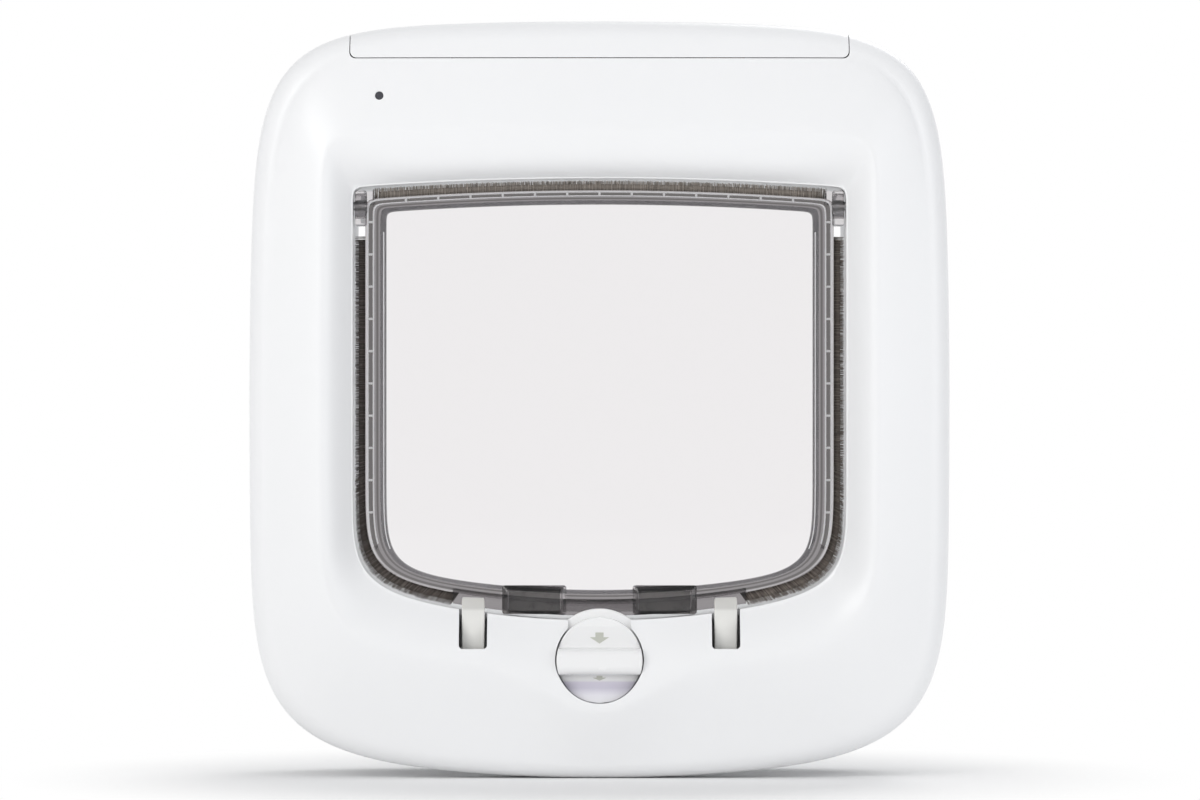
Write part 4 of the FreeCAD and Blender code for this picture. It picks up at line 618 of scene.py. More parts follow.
def pile_brown(name):
    """Brush fibres: the tone changes from fibre to fibre, with painted shade at the roots and painted light low down.
    """
    colour = getattr(bpy.context.scene.cat_flap.pile, PILE_COLOURS[name])
    material, tree, surface = new_material(name, {
        "Roughness": 0.75, "Sheen Weight": 0.25, "Specular IOR Level": 0.25,
    })
    fibre = new_node(tree, "Attribute", attribute_name="fibre").outputs["Fac"]
    dark, pale = [c * 0.45 for c in colour], [min(c * 1.7, 1.0) for c in colour]
    tree.links.new(ramp(tree, fibre, ((0.0, dark), (1.0, pale))), surface.inputs["Base Color"])
    return material


def copper_wire(name):
    """Enamelled wire: turns side by side, as a wave along the depth."""
    material = metal(name, (0.62, 0.25, 0.10), (0.35, 0.13, 0.06), 0.3, 0.15)
    tree = material.node_tree
    turns = new_node(tree, "TexWave", {"Vector": object_place(tree), "Scale": 520.0}, bands_direction="Y")
    relief = bump(tree, turns.outputs["Fac"], 0.8, 0.0003, Normal=tree.nodes["skin"].outputs["Normal"])
    tree.links.new(relief, tree.nodes["Principled BSDF"].inputs["Normal"])
    return material


def circuit_green(name):
    """Solder mask with the faint shapes of the tracks under it."""
    material = moulded(name, (0.012, 0.12, 0.055), 0.28, 0.15, 0.1, 0.08)
    tree = material.node_tree
    tracks = new_node(tree, "TexVoronoi", {"Vector": object_place(tree), "Scale": 220.0}, distance="MANHATTAN")
    return two_coloured(material, between(tree, tracks.outputs["Distance"], 0.5, 0.56), (0.035, 0.22, 0.10))


def cell_sleeve(name):
    """A cell's sleeve: black body with a copper-coloured band at the button's end, by place along X."""
    material = moulded(name, (0.03, 0.03, 0.035), 0.3, 0.1, 0.1, 0.05)
    tree = material.node_tree
    parts = new_node(tree, "SeparateXYZ", {"Vector": object_place(tree)})
    shifted = math_node(tree, "ADD", parts.outputs["X"], CELL_LONG)
    along = math_node(tree, "FRACT", math_node(tree, "DIVIDE", shifted, CELL_LONG))
    return two_coloured(material, math_node(tree, "GREATER_THAN", along, CELL_BAND), (0.55, 0.25, 0.10))


# The pile's materials: pile_dark on the left is a copy darkened as painted shade, pile_lit on the right a copy
# lightened as painted light.
PILE_COLOURS = {"pile_pale": "top_colour", "pile_lit": "lit_colour", "pile_dark": "side_colour"}
MAKERS = {make.__name__: make for make in (
    white_shell, ivory_latch, dial_white, clear_plastic, copper_wire, circuit_green, cell_sleeve,
)}
MAKERS.update(dict.fromkeys(PILE_COLOURS, pile_brown))


def finish(name):
    """The material of a name, which is made when it is first asked for."""
    if name in bpy.data.materials:
        return bpy.data.materials[name]
    if name in PLASTICS:
        return moulded(name, *PLASTICS[name])
    if name in METALS:
        return metal(name, *METALS[name])
    return MAKERS[name](name)


# Inside frame and battery cover

COVER_GAP = 0.0003
COVER_CORNER = 0.0022
COVER_EDGE_Z = 0.1161
COVER_BACK_Y = -0.004
SLOT_BOTTOM_Z = -0.0847
SLOT_TOP_Z = -0.058
SLOT_GAP = 0.0009
SLOT_CORNER = 0.0013
DIAL_Z = (DIAL_LOW.z + DIAL_HIGH.z) / 2
KNOB_RADIUS = 0.0146
KNOB_GAP = 0.0005
# The gap round the knob narrows from its middle to its foot, and the narrowing is complete at this share.
KNOB_FOOT_GAP = 0.00005
KNOB_FOOT_SHARE = 1 / 1.6
CAP_GAP = 0.0003
CAP_START, CAP_FULL = 0.69, 0.82
BLADE_RADIUS = 0.0174
LIGHT_PLACE = (-0.0748, 0.1032)
LIGHT_HOLE = 0.00145
CUT_FRONT_Y, CUT_BACK_Y = -0.05, -0.005


def flange_point(share):
    """Outline and depth of the flange from the rim, at share 0, to the crest, where its crown is level."""
    rim = FRAME.inset(RIM_ROUND * (1 - math.cos(RIM_TURN)))
    rim_y = -RIM_STRAIGHT - RIM_ROUND * math.sin(RIM_TURN)
    rise = 1 - (1 - share) ** FLANGE_CROWN
    return rim.blend(CREST, share), rim_y + (CREST_Y - rim_y) * rise


def frame_rows(settings, angles):
    """Rows of the skin: outer wall, rolled rim as an arc, crowned flange, dish as a smooth step, lip."""
    rows = [(FRAME, y) for y in np.linspace(0, -RIM_STRAIGHT, 4)[:-1]]
    for angle in np.linspace(0, RIM_TURN, 13):
        rows.append((FRAME.inset(RIM_ROUND * (1 - math.cos(angle))), -RIM_STRAIGHT - RIM_ROUND * math.sin(angle)))
    rows += [flange_point(share) for share in np.linspace(0, 1, settings.flange_rows + 1)[1:]]
    edge = OPENING.inset(-LIP_ROUND)
    for share in np.linspace(0, 1, settings.dish_rows + 1)[1:]:
        rows.append((CREST.blend(edge, share), CREST_Y + (LIP_Y - CREST_Y) * dish_fall(share, angles)))
    for angle in np.linspace(0, math.pi / 2, 6)[1:]:
        rows.append((OPENING.inset(-LIP_ROUND * (1 - math.sin(angle))), LIP_Y + LIP_ROUND * (1 - math.cos(angle))))
    rows += [(OPENING, y) for y in np.linspace(LIP_Y + LIP_ROUND, LIP_BACK_Y, 4)[1:]]
    return rows


def frame_back_rows(settings, angles):
    """Rows of the hidden side, from the lip out: the front's own outlines set back by the wall."""
    wall = settings.wall
    rows = [(OPENING.inset(-wall), LIP_BACK_Y), (OPENING.inset(-wall), LIP_Y + wall)]
    for share in np.linspace(DISH_BACK_SHARE, 0, 9):
        fall = CREST_Y + (LIP_Y - CREST_Y) * dish_fall(share, angles)
        rows.append((CREST.blend(OPENING, share), np.minimum(fall + wall * DISH_BACK_SLOPE, LIP_Y + wall)))
    for share in np.linspace(1, 0, 7)[1:-1]:
        outline, depth = flange_point(share)
        rows.append((outline, depth + wall))
    inner_round = RIM_ROUND - wall
    for angle in np.linspace(RIM_TURN, 0, 7):
        outline = FRAME.inset(RIM_ROUND - inner_round * math.cos(angle))
        rows.append((outline, -RIM_STRAIGHT - inner_round * math.sin(angle)))
    rows.append((FRAME.inset(wall), 0.0))
    return rows


def frame_skin(name, settings):
    """The whole front moulding as a wall, before anything is cut out of it."""
    angles = corner_weighted(settings.columns)
    grid = ring_rows(frame_rows(settings, angles) + frame_back_rows(settings, angles), angles)
    return grid_object(name, grid, finish("white_shell"), wrap_rows=True)


def cover_section(gap):
    """The battery cover's outline in X and Z, which runs out of the top."""
    half = COVER_HIGH.x + COVER_GAP - gap
    return rounded_rectangle(-half, half, COVER_EDGE_Z + gap, FRAME_HIGH.z + 0.02, COVER_CORNER, 6)


def dial_hole():
    """The dial's hole: a circle drawn in a little at its foot, with the lock blade's arc on top.

    Each ray's length is the knob's radius and gap. The gap narrows by a smooth step of minus the
    ray's sine, and the length grows to the blade's radius by a smooth step of the sine."""
    angle = np.linspace(0, 2 * math.pi, 241)[:-1]
    low = np.clip(-np.sin(angle), 0, 1)
    reach = KNOB_RADIUS + KNOB_GAP - (KNOB_GAP - KNOB_FOOT_GAP) * smooth_step(low / KNOB_FOOT_SHARE)
    rise = smooth_step((np.sin(angle) - CAP_START) / (CAP_FULL - CAP_START))
    reach = reach + (BLADE_RADIUS + CAP_GAP - KNOB_RADIUS - KNOB_GAP) * rise
    return np.stack([reach * np.cos(angle), DIAL_Z + reach * np.sin(angle)], -1)


def make_inside_frame(settings):
    """The front moulding, from which the cover, the latch slots, the dial's hole and the light's hole are cut."""
    half_slot = (LATCH_HIGH.x - LATCH_LOW.x) / 2 + SLOT_GAP
    holes = []
    for middle in (-(LATCH_HIGH.x + LATCH_LOW.x) / 2, (LATCH_HIGH.x + LATCH_LOW.x) / 2):
        holes.append(rounded_rectangle(middle - half_slot, middle + half_slot, SLOT_BOTTOM_Z, SLOT_TOP_Z, SLOT_CORNER))
    holes += [dial_hole(), circle(*LIGHT_PLACE, LIGHT_HOLE, 32)]
    cutters = [prism("cover_cutter", cover_section(0.0), CUT_FRONT_Y, COVER_BACK_Y)]
    cutters += [prism("hole_cutter", hole, CUT_FRONT_Y, CUT_BACK_Y) for hole in holes]
    skin = carved(frame_skin("inside_frame", settings), cutters)
    stand_for(skin, "housing", "shell", "interior_frame")


def make_battery_cover(settings):
    """The part of the same skin that lies inside the cover's seam."""
    keeper = prism("cover_keeper", cover_section(COVER_GAP), CUT_FRONT_Y, COVER_BACK_Y - COVER_GAP)
    skin = carved(frame_skin("battery_door", settings), [keeper], "INTERSECT")
    stand_for(skin, "cover", "shell", "battery_cover")


# Clear flap

FLAP_FRONT_Y = -0.013
FLAP_BACK_Y = -0.007
FLAP_ROUND = 0.0005
PANE_FRONT_Y = -0.011
PANE_BACK_Y = -0.009
# Across the rail, shares go from 0 at its edge to 1 at the window. The pane's rows count as PANE_SHARE.
GROOVE_START, GROOVE_END = 0.16, 0.36
# Shares between which the rail's flat front carries a painted dark line, standing in for a reflection of the bevel.
DARK_LINE_SHARES = (0.54, 0.62)
BEVEL_START = 0.72
PANE_SHARE = 2.0
PANE_ROWS = (0.02, 0.2, 0.4, 0.6, 0.8, 0.95, 0.99, 0.998)
GROOVE_LOW_Z = -0.052
GROOVE_FADE = 0.0016
# The darker stretch of painted shade on the rail above each magnet: height over the magnet, reach past its ends and
# fade.
BAND_HIGH, BAND_PAST, BAND_FADE = 0.006, 0.002, 0.001
HOUSING_FRONT_Y = -0.0136
HOUSING_BACK_Y = -0.0064
HOUSING_WALL = 0.0015
HOUSING_CORNER = 0.0009
# Inset and depth of a magnet housing's rings, from its back over the collar and the sloped sides to its face.
HOUSING_RINGS = (
    (0.0, HOUSING_BACK_Y), (-0.0008, FLAP_FRONT_Y + 0.0004), (0.0, FLAP_FRONT_Y - 0.0001),
    (0.0009, HOUSING_FRONT_Y + 0.0001), (0.0013, HOUSING_FRONT_Y),
)
PLATE_HALF, PLATE_LOW_Z, PLATE_HIGH_Z = 0.0125, -0.0723, -0.0682
LIP_HALF = 0.050
LIP_FRONT_Y, LIP_REAR_Y = -0.0126, -0.009
LIP_GAP = 0.0014
LIP_OVERLAP = 0.0016
EAR_GAP = 0.0006
EAR_LOW_Z = 0.0591
EAR_HIGH_Z = 0.0713
EAR_ROUND = 0.0009
BRIDGE_LOW_Z = 0.0664
BRIDGE_OVERLAP = 0.0002
BRIDGE_INSET = 0.0003
HINGE_Y, HINGE_Z = -0.010, 0.066
KNUCKLE_RADIUS = 0.0043
# Fine lines along the rail, painted highlights in frosted white: share of the way from its edge to the window, and
# width.
EDGE_LINE = (0.07, 0.0006)
STEP_LINE = (0.36, 0.0005)
INNER_LINE = (0.86, 0.0004)
INNER_LINE_LOW, INNER_LINE_HIGH = -0.62, 0.66
LINE_RISE = 0.00012
RIB_PITCH = 0.011
RIB_THICK = 0.0008
RIB_ROUND = 0.00015
RIB_SUNK = 0.00005
RIB_OVERLAP = 0.0001


def set_attribute(thing, name, values):
    """Stores a number at each point of a mesh, for its material."""
    layer = thing.data.attributes.new(name, "FLOAT", "POINT")
    layer.data.foreach_set("value", np.broadcast_to(values, len(thing.data.vertices)).astype(np.float32))


def rail_rows(deep):
    """Share, depth and shade of the rail's rows, from the bevel over the painted dark line and the groove round to the
    back.

    A shade of 0 is the pane's tint, 0.5 the rail's, and 1 the groove's dark tint, which is painted shade."""
    low, high = DARK_LINE_SHARES
    rows = [
        (share, PANE_FRONT_Y + (FLAP_FRONT_Y - PANE_FRONT_Y) * (1.0 - share) / (1.0 - BEVEL_START), 0.45)
        for share in np.linspace(1.0, BEVEL_START, 6)[1:]
    ]
    rows += [
        (high + 0.02, FLAP_FRONT_Y, 0.55), (high, FLAP_FRONT_Y, 1.0), (low, FLAP_FRONT_Y, 1.0),
        (low - 0.02, FLAP_FRONT_Y, 0.55), ((low + GROOVE_END) / 2, FLAP_FRONT_Y, 0.5),
        (GROOVE_END, FLAP_FRONT_Y, 0.55), (GROOVE_END - 0.01, FLAP_FRONT_Y + deep * 0.08, 0.7),
        (GROOVE_END - 0.02, FLAP_FRONT_Y + deep, 1.0), ((GROOVE_START + GROOVE_END) / 2, FLAP_FRONT_Y + deep, 1.0),
        (GROOVE_START + 0.02, FLAP_FRONT_Y + deep, 1.0), (GROOVE_START + 0.01, FLAP_FRONT_Y + deep * 0.08, 0.6),
    ]
    round_share = FLAP_ROUND / (FLAP.half_width - WINDOW.half_width)
    arc = [
        (round_share * (1 - math.sin(turn)), FLAP_ROUND * (1 - math.cos(turn)))
        for turn in np.linspace(0, math.pi / 2, 5)
    ]
    rows += [(share, FLAP_FRONT_Y + fall, 0.2) for share, fall in arc]
    rows += [(share, FLAP_BACK_Y - fall, 0.3) for share, fall in arc[::-1]]
    rows += [(share, FLAP_BACK_Y, 0.5) for share in np.linspace(round_share, 1.0, 6)[1:]]
    return rows + [(1.0, PANE_BACK_Y, 0.4)]


def make_flap(settings):
    """The clear moulding: one closed surface from the pane's middle over bevel, groove and rail to its back.

    Rows follow the outline blended between rail and window by the section's share, and shrink to a
    point at the pane's middle. The groove's depth fades out below the ladder's end."""
    angles = corner_weighted(settings.columns)
    edge_z = FLAP.ring(angles)[1]
    deep = settings.groove_deep * smooth_step((edge_z - GROOVE_LOW_Z) / GROOVE_FADE)
    rows = [(WINDOW.shrunk(shrink), PANE_FRONT_Y, 0.0, PANE_SHARE) for shrink in PANE_ROWS]
    rows.append((WINDOW, PANE_FRONT_Y, 0.1, PANE_SHARE))
    rows += [(FLAP.blend(WINDOW, share), depth, shade, share) for share, depth, shade in rail_rows(deep)]
    rows += [(WINDOW.shrunk(shrink), PANE_BACK_Y, 0.0, PANE_SHARE) for shrink in PANE_ROWS[::-1]]
    grid = ring_rows([row[:2] for row in rows], angles)
    count, columns = grid.shape[:2]
    faces = grid_faces(count, columns, False, True) + cap_faces(count, columns)
    moulding = new_object("flap_moulding", grid, faces, finish("clear_plastic"), 25.0, mend=False)
    turn_outwards(moulding)
    shade, share = (np.array([row[place] for row in rows])[:, None] for place in (2, 3))
    x, z = np.abs(grid[..., 0]), grid[..., 2]
    # Painted shade: the bevel rows above each magnet take the groove's dark tint, while the rail's rows below take a
    # clear tint so the magnet shows.
    band = smooth_step((x - MAGNET_LOW.x + BAND_PAST) / BAND_FADE)
    band = band * smooth_step((MAGNET_HIGH.x + BAND_PAST - x) / BAND_FADE)
    band = band * (z < MAGNET_HIGH.z + BAND_HIGH) * (share < PANE_SHARE)
    target = np.where(share > BEVEL_START, 1.0, 0.08)
    set_attribute(moulding, "shade", (shade + (target - shade) * band).ravel())
    stand_for(moulding, "flap", "clear", "flap_panel")
    make_flap_lip()
    make_housings()
    make_ears()
    make_ladder(settings)


def make_flap_lip():
    """The lip under the window: rings across X whose section reaches from the rail to the opening."""
    x = np.linspace(-LIP_HALF, LIP_HALF, 81)
    lip = OPENING.inset(EAR_GAP, 0.0039, LIP_GAP)
    low = -(lip.down - lip.end_bow_down * (x / lip.half_width) ** 2)
    high = LIP_OVERLAP - (FLAP.down - FLAP.end_bow_down * (x / FLAP.half_width) ** 2)
    section = rounded_rectangle(-1.0, 1.0, -1.0, 1.0, 0.24, 4)
    depth = (LIP_FRONT_Y + LIP_REAR_Y) / 2 + section[:, 0] * (LIP_REAR_Y - LIP_FRONT_Y) / 2
    z = (high + low)[:, None] / 2 + section[None, :, 1] * (high - low)[:, None] / 2
    grid = np.stack([np.broadcast_to(x[:, None], z.shape), np.broadcast_to(depth, z.shape), z], -1)
    lip_piece = grid_object("flap_lip", grid, finish("clear_plastic"), caps=True)
    set_attribute(lip_piece, "shade", 0.5)
    stand_for(lip_piece, "flap", "clear")


def make_housings():
    """Raised housings over the magnets, whose sides slope in towards the front, and the plate between. The sloped sides
    take a dark tint as a painted shadow border round each magnet.
    """
    clear = finish("clear_plastic")
    low_z, high_z = MAGNET_LOW.z - HOUSING_WALL + EAR_GAP, MAGNET_HIGH.z + HOUSING_WALL
    parts = []
    for side in (-1, 1):
        low_x, high_x = sorted((side * (MAGNET_LOW.x - HOUSING_WALL), side * (MAGNET_HIGH.x + HOUSING_WALL)))
        rings = [
            np.insert(rounded_rectangle(
                low_x + inset, high_x - inset, low_z + max(inset, 0.0), high_z - inset, HOUSING_CORNER, 4
            ), 1, depth, axis=1)
            for inset, depth in HOUSING_RINGS
        ]
        parts.append(grid_object("housing_%d" % side, np.stack(rings), clear, caps=True))
    parts.append(soft_block(
        "middle_plate", (-PLATE_HALF, LIP_FRONT_Y - 0.0006, PLATE_LOW_Z),
        (PLATE_HALF, LIP_FRONT_Y + 0.0010, PLATE_HIGH_Z), 0.0004, clear,
    ))
    housings = joined("magnet_housings", parts)
    places = np.array([vertex.co for vertex in housings.data.vertices])
    face = places[:, 1] < HOUSING_FRONT_Y + 0.00005
    middle = np.abs(places[:, 0]) < PLATE_HALF + 0.0001
    # Painted shade: the housings' sloped sides take a dark tint, their faces stay clear and the middle plate takes a
    # light tint.
    set_attribute(housings, "shade", np.where(middle, 0.3, np.where(face, 0.06, 0.85)))
    stand_for(housings, "flap", "clear")


def make_ears():
    """Hinge ears: a plate beside the rail, a bridge to it and a round knuckle on the hinge's axis."""
    clear = finish("clear_plastic")
    angles = np.linspace(0, 2 * math.pi, 41)[:-1]
    inner_x = FLAP.half_width - EAR_GAP
    outer_x = OPENING.half_width - EAR_GAP
    parts = []
    for side in (-1, 1):
        low_x, high_x = sorted((side * inner_x, side * outer_x))
        parts.append(soft_block(
            "ear_plate_%d" % side, (low_x, FLAP_FRONT_Y, EAR_LOW_Z), (high_x, FLAP_BACK_Y, EAR_HIGH_Z),
            EAR_ROUND, clear,
        ))
        near_x, far_x = sorted((side * (PILE_HIGH.x - BRIDGE_OVERLAP), side * (inner_x + BRIDGE_OVERLAP)))
        parts.append(soft_block(
            "ear_bridge_%d" % side, (near_x, FLAP_FRONT_Y + BRIDGE_INSET, BRIDGE_LOW_Z),
            (far_x, FLAP_BACK_Y - BRIDGE_INSET, EAR_HIGH_Z - BRIDGE_OVERLAP), 0.0004, clear,
        ))
        profile = rounded_path(
            [(0.0, low_x), (KNUCKLE_RADIUS, low_x), (KNUCKLE_RADIUS, high_x), (0.0, high_x)], (0.0005, 0.0005)
        )
        y = HINGE_Y + profile[None, :, 0] * np.cos(angles)[:, None]
        z = HINGE_Z + profile[None, :, 0] * np.sin(angles)[:, None]
        grid = np.stack([np.broadcast_to(profile[:, 1], y.shape), y, z], -1)
        parts.append(grid_object("ear_knuckle_%d" % side, grid, clear, wrap_rows=True, wrap_columns=False))
    ears = joined("hinge_ears", parts)
    set_attribute(ears, "shade", 0.17)
    stand_for(ears, "flap", "clear")


def highlight_strip(name, share, width, angles):
    """A painted highlight on the rail: a fine raised line of frosted white, a flat section carried along the outline at
    one share of its width.
    """
    near = FLAP.blend(WINDOW, share)
    far = FLAP.blend(WINDOW, share + width / (FLAP.half_width - WINDOW.half_width))
    top, foot = FLAP_FRONT_Y - LINE_RISE, FLAP_FRONT_Y + LINE_RISE
    grid = ring_rows([(near, foot), (near, top), (far, top), (far, foot)], angles)
    return grid_object(name, np.swapaxes(grid, 0, 1), finish("frosted_rib_and_highlight"), caps=True)


def make_ladder(settings):
    """Thin ribs across the groove at an even pitch, and fine lines along the rail as painted highlights."""
    front, back = FLAP_FRONT_Y + RIB_SUNK, FLAP_FRONT_Y + settings.groove_deep
    blocks = []
    top_count = int(WINDOW.half_width / RIB_PITCH)
    for step in range(-top_count, top_count + 1):
        x = step * RIB_PITCH
        outer = FLAP.up - FLAP.end_bow_up * (x / FLAP.half_width) ** 2
        inner = WINDOW.up - WINDOW.end_bow_up * (x / WINDOW.half_width) ** 2
        high, low = (outer + (inner - outer) * share for share in (GROOVE_START, GROOVE_END))
        blocks.append((x - RIB_THICK / 2, low - RIB_OVERLAP, x + RIB_THICK / 2, high + RIB_OVERLAP))
    outer_x, inner_x = (
        FLAP.half_width + (WINDOW.half_width - FLAP.half_width) * share for share in (GROOVE_START, GROOVE_END)
    )
    for step in range(-int(-GROOVE_LOW_Z / RIB_PITCH), int(WINDOW.up / RIB_PITCH)):
        z = (step + 0.5) * RIB_PITCH
        for side in (-1, 1):
            low_x, high_x = sorted((side * (inner_x - RIB_OVERLAP), side * (outer_x + RIB_OVERLAP)))
            blocks.append((low_x, z - RIB_THICK / 2, high_x, z + RIB_THICK / 2))
    parts = [
        soft_block("rib", (low_x, front, low_z), (high_x, back, high_z), RIB_ROUND, finish("frosted_rib_and_highlight"), 2)
        for low_x, low_z, high_x, high_z in blocks
    ]
    ends = math.atan2(GROOVE_LOW_Z, FLAP.half_width)
    around = np.linspace(ends, math.pi - ends, 420)
    right = np.linspace(INNER_LINE_LOW, INNER_LINE_HIGH, 60)
    left = np.linspace(math.pi - INNER_LINE_HIGH, math.pi - INNER_LINE_LOW, 60)
    for line, stretch in ((EDGE_LINE, around), (STEP_LINE, around), (INNER_LINE, right), (INNER_LINE, left)):
        parts.append(highlight_strip("line", *line, stretch))
    ladder = joined("flap_ladder", parts)
    stand_for(ladder, "flap", "clear")


# Brush pile

PILE_FRONT_Y, PILE_BACK_Y = -0.0112, -0.0088
PILE_TIP_GAP = 0.00042
ROOT_SUNK = 0.0003
PILE_SIDE_TOP_Z = 0.0556
PILE_BOTTOM_HALF = 0.0515
# Below this height the pile lies open to the light, and its tone rises by this share.
PILE_LOW_Z, PILE_LOW_LIT, PILE_LOW_FADE = -0.042, 0.55, 0.02
# Above the start of this stretch the side fibres turn level.
SIDE_LEVEL_Z, SIDE_LEVEL_FADE = -0.03, 0.03
# A strip whose angles all lie more than this above the level is the one along the top.
TOP_STRIP_ANGLE = 0.3
BACKING_SHARE = 0.55
BACKING_OVERLAP = 0.00005
BACKING_INSET = 0.0002


def fibre_ends(angles, settings, chance):
    """Root and tip of every fibre, whose tip lies near the opening's outline and root on the rail's.

    The root is straight below along the top, level with the tip at the sides, and at the same
    angle round the lower corners. Seeded random numbers move both a little."""
    layers, count = settings.layers, len(angles) * settings.layers
    angle = np.repeat(angles, layers)
    level = np.tile(np.linspace(0.1, 0.9, layers), len(angles)) + chance.uniform(-0.12, 0.12, count)
    root_x, root_z = FLAP.inset(ROOT_SUNK).ring(angle)
    tip_x, tip_z = OPENING.inset(PILE_TIP_GAP).ring(angle + chance.normal(0, 0.0016, count))
    if TOP_STRIP_ANGLE < angles.min() and angles.max() < math.pi - TOP_STRIP_ANGLE:
        square_x = tip_x
        square_z = FLAP.up - ROOT_SUNK - FLAP.end_bow_up * (tip_x / FLAP.half_width) ** 2
        square = 1.0
    else:
        square_x = np.sign(tip_x) * (FLAP.half_width - ROOT_SUNK)
        square_z = tip_z
        square = smooth_step((tip_z - SIDE_LEVEL_Z) / SIDE_LEVEL_FADE)
    root_x = root_x + (square_x - root_x) * square
    root_z = root_z + (square_z - root_z) * square
    long = chance.uniform(0.86, 1.0, count)
    depth = PILE_FRONT_Y + level * (PILE_BACK_Y - PILE_FRONT_Y)
    tip_depth = np.clip(depth + chance.normal(0, 0.00018, count), PILE_FRONT_Y, PILE_BACK_Y)
    root = np.stack([root_x, depth, root_z], -1)
    return root, root + (np.stack([tip_x, tip_depth, tip_z], -1) - root) * long[:, None]


def fibre_mesh(root, tip, radius, chance):
    """Points, faces and shades of the fibres: three-sided spikes that narrow to the tip, with painted shade that
    darkens the root and painted light on the low stretch.
    """
    turn = chance.uniform(0, 2 * math.pi, len(root))[:, None] + np.arange(3) * 2 * math.pi / 3
    away = tip - root
    tangent = np.stack([away[:, 2], np.zeros(len(away)), -away[:, 0]], -1)
    tangent /= np.linalg.norm(tangent, axis=-1, keepdims=True)
    spread = radius * (
        np.cos(turn)[..., None] * tangent[:, None] + np.sin(turn)[..., None] * np.array([0.0, 1.0, 0.0])
    )
    points = np.concatenate([root[:, None] + spread, tip[:, None] + spread * 0.35], axis=1)
    start = np.arange(len(root))[:, None, None] * 6
    faces = (start + np.array([[0, 1, 4, 3], [1, 2, 5, 4], [2, 0, 3, 5]])).reshape(-1, 4).tolist()
    faces += (start + np.array([[2, 1, 0], [3, 4, 5]])).reshape(-1, 3).tolist()
    shade = np.repeat(chance.uniform(0.15, 1.0, len(root)), 6).reshape(-1, 6)
    # Painted shade: the roots are darker.
    shade[:, :3] *= 0.35
    lit = PILE_LOW_LIT * smooth_step((PILE_LOW_Z - root[:, 2]) / PILE_LOW_FADE)
    return points, faces, shade + (1.0 - shade) * lit[:, None]


def backing_grid(angles):
    """The strip that the fibres stand on: a rounded section carried along the rail's edge."""
    section = rounded_rectangle(0.0, 1.0, PILE_FRONT_Y + BACKING_INSET, PILE_BACK_Y - BACKING_INSET, 0.0005, 3)
    share = np.where(section[:, 0] > 0.5, BACKING_SHARE, 0.0)
    near_x, near_z = FLAP.inset(-BACKING_OVERLAP).ring(angles)
    far_x, far_z = OPENING.ring(angles)
    x = near_x[:, None] + (far_x - near_x)[:, None] * share
    z = near_z[:, None] + (far_z - near_z)[:, None] * share
    return np.stack([x, np.broadcast_to(section[:, 1], x.shape), z], -1)


def pile_piece(name, angles, material_name, settings, node, seed):
    """Fibres that stand from the rail's edge to near the opening, over a short backing strip."""
    chance = np.random.default_rng(seed)
    root, tip = fibre_ends(angles, settings, chance)
    fibres, faces, shade = fibre_mesh(root, tip, settings.fibre_radius, chance)
    backing = backing_grid(np.linspace(angles[0], angles[-1], max(60, len(angles) // 12)))
    rows, columns = backing.shape[:2]
    base = len(fibres) * 6
    faces += grid_faces(rows, columns, False, True, base) + cap_faces(rows, columns, base)
    points = np.concatenate([fibres.reshape(-1, 3), backing.reshape(-1, 3)])
    piece = new_object(name, points, faces, finish(material_name), 180.0, mend=False)
    turn_outwards(piece)
    set_attribute(piece, "fibre", np.concatenate([shade.ravel(), np.full(rows * columns, 0.05)]))
    stand_for(piece, "flap", "pile", node)


def pile_angles(low, high, spacing):
    """Angles between two ends whose points on the opening's outline are evenly spaced."""
    fine = np.linspace(low, high, 4000)
    x, z = OPENING.ring(fine)
    along = np.concatenate([[0], np.cumsum(np.hypot(np.diff(x), np.diff(z)))])
    return np.interp(np.linspace(0, along[-1], int(along[-1] / spacing)), along, fine)


def make_pile(settings):
    """Brush strips along the top and down both sides, round the lower corners."""
    top = math.atan2(OPENING.up - OPENING.end_bow_up, PILE_HIGH.x)
    start = math.atan2(PILE_SIDE_TOP_Z, OPENING.half_width)
    low_z = OPENING.down - OPENING.end_bow_down * (PILE_BOTTOM_HALF / OPENING.half_width) ** 2
    end = -math.atan2(low_z, PILE_BOTTOM_HALF)
    for name, low, high, material_name, seed in (
        ("top", top, math.pi - top, "pile_pale", 11), ("right", end, start, "pile_lit", 12),
        ("left", math.pi - start, math.pi - end, "pile_dark", 13),
    ):
        angles = pile_angles(low, high, settings.spacing)
        pile_piece("pile_strip_" + name, angles, material_name, settings, "pile_" + name, seed)


# Latches and their springs

NOSE_RISE = 0.0037
NOSE_LEAN = 0.0012
NOSE_SLANT = 0.0003
NOSE_SLANT_FROM = 0.9
LATCH_ROUND = 0.0004
SPRING_STRIP = 0.0008
SPRING_LEGS = 6
SPRING_BEND = 0.00045
# The corners lie this far outside the solid, so that the round bends reach its sides.
SPRING_REACH = 0.0004


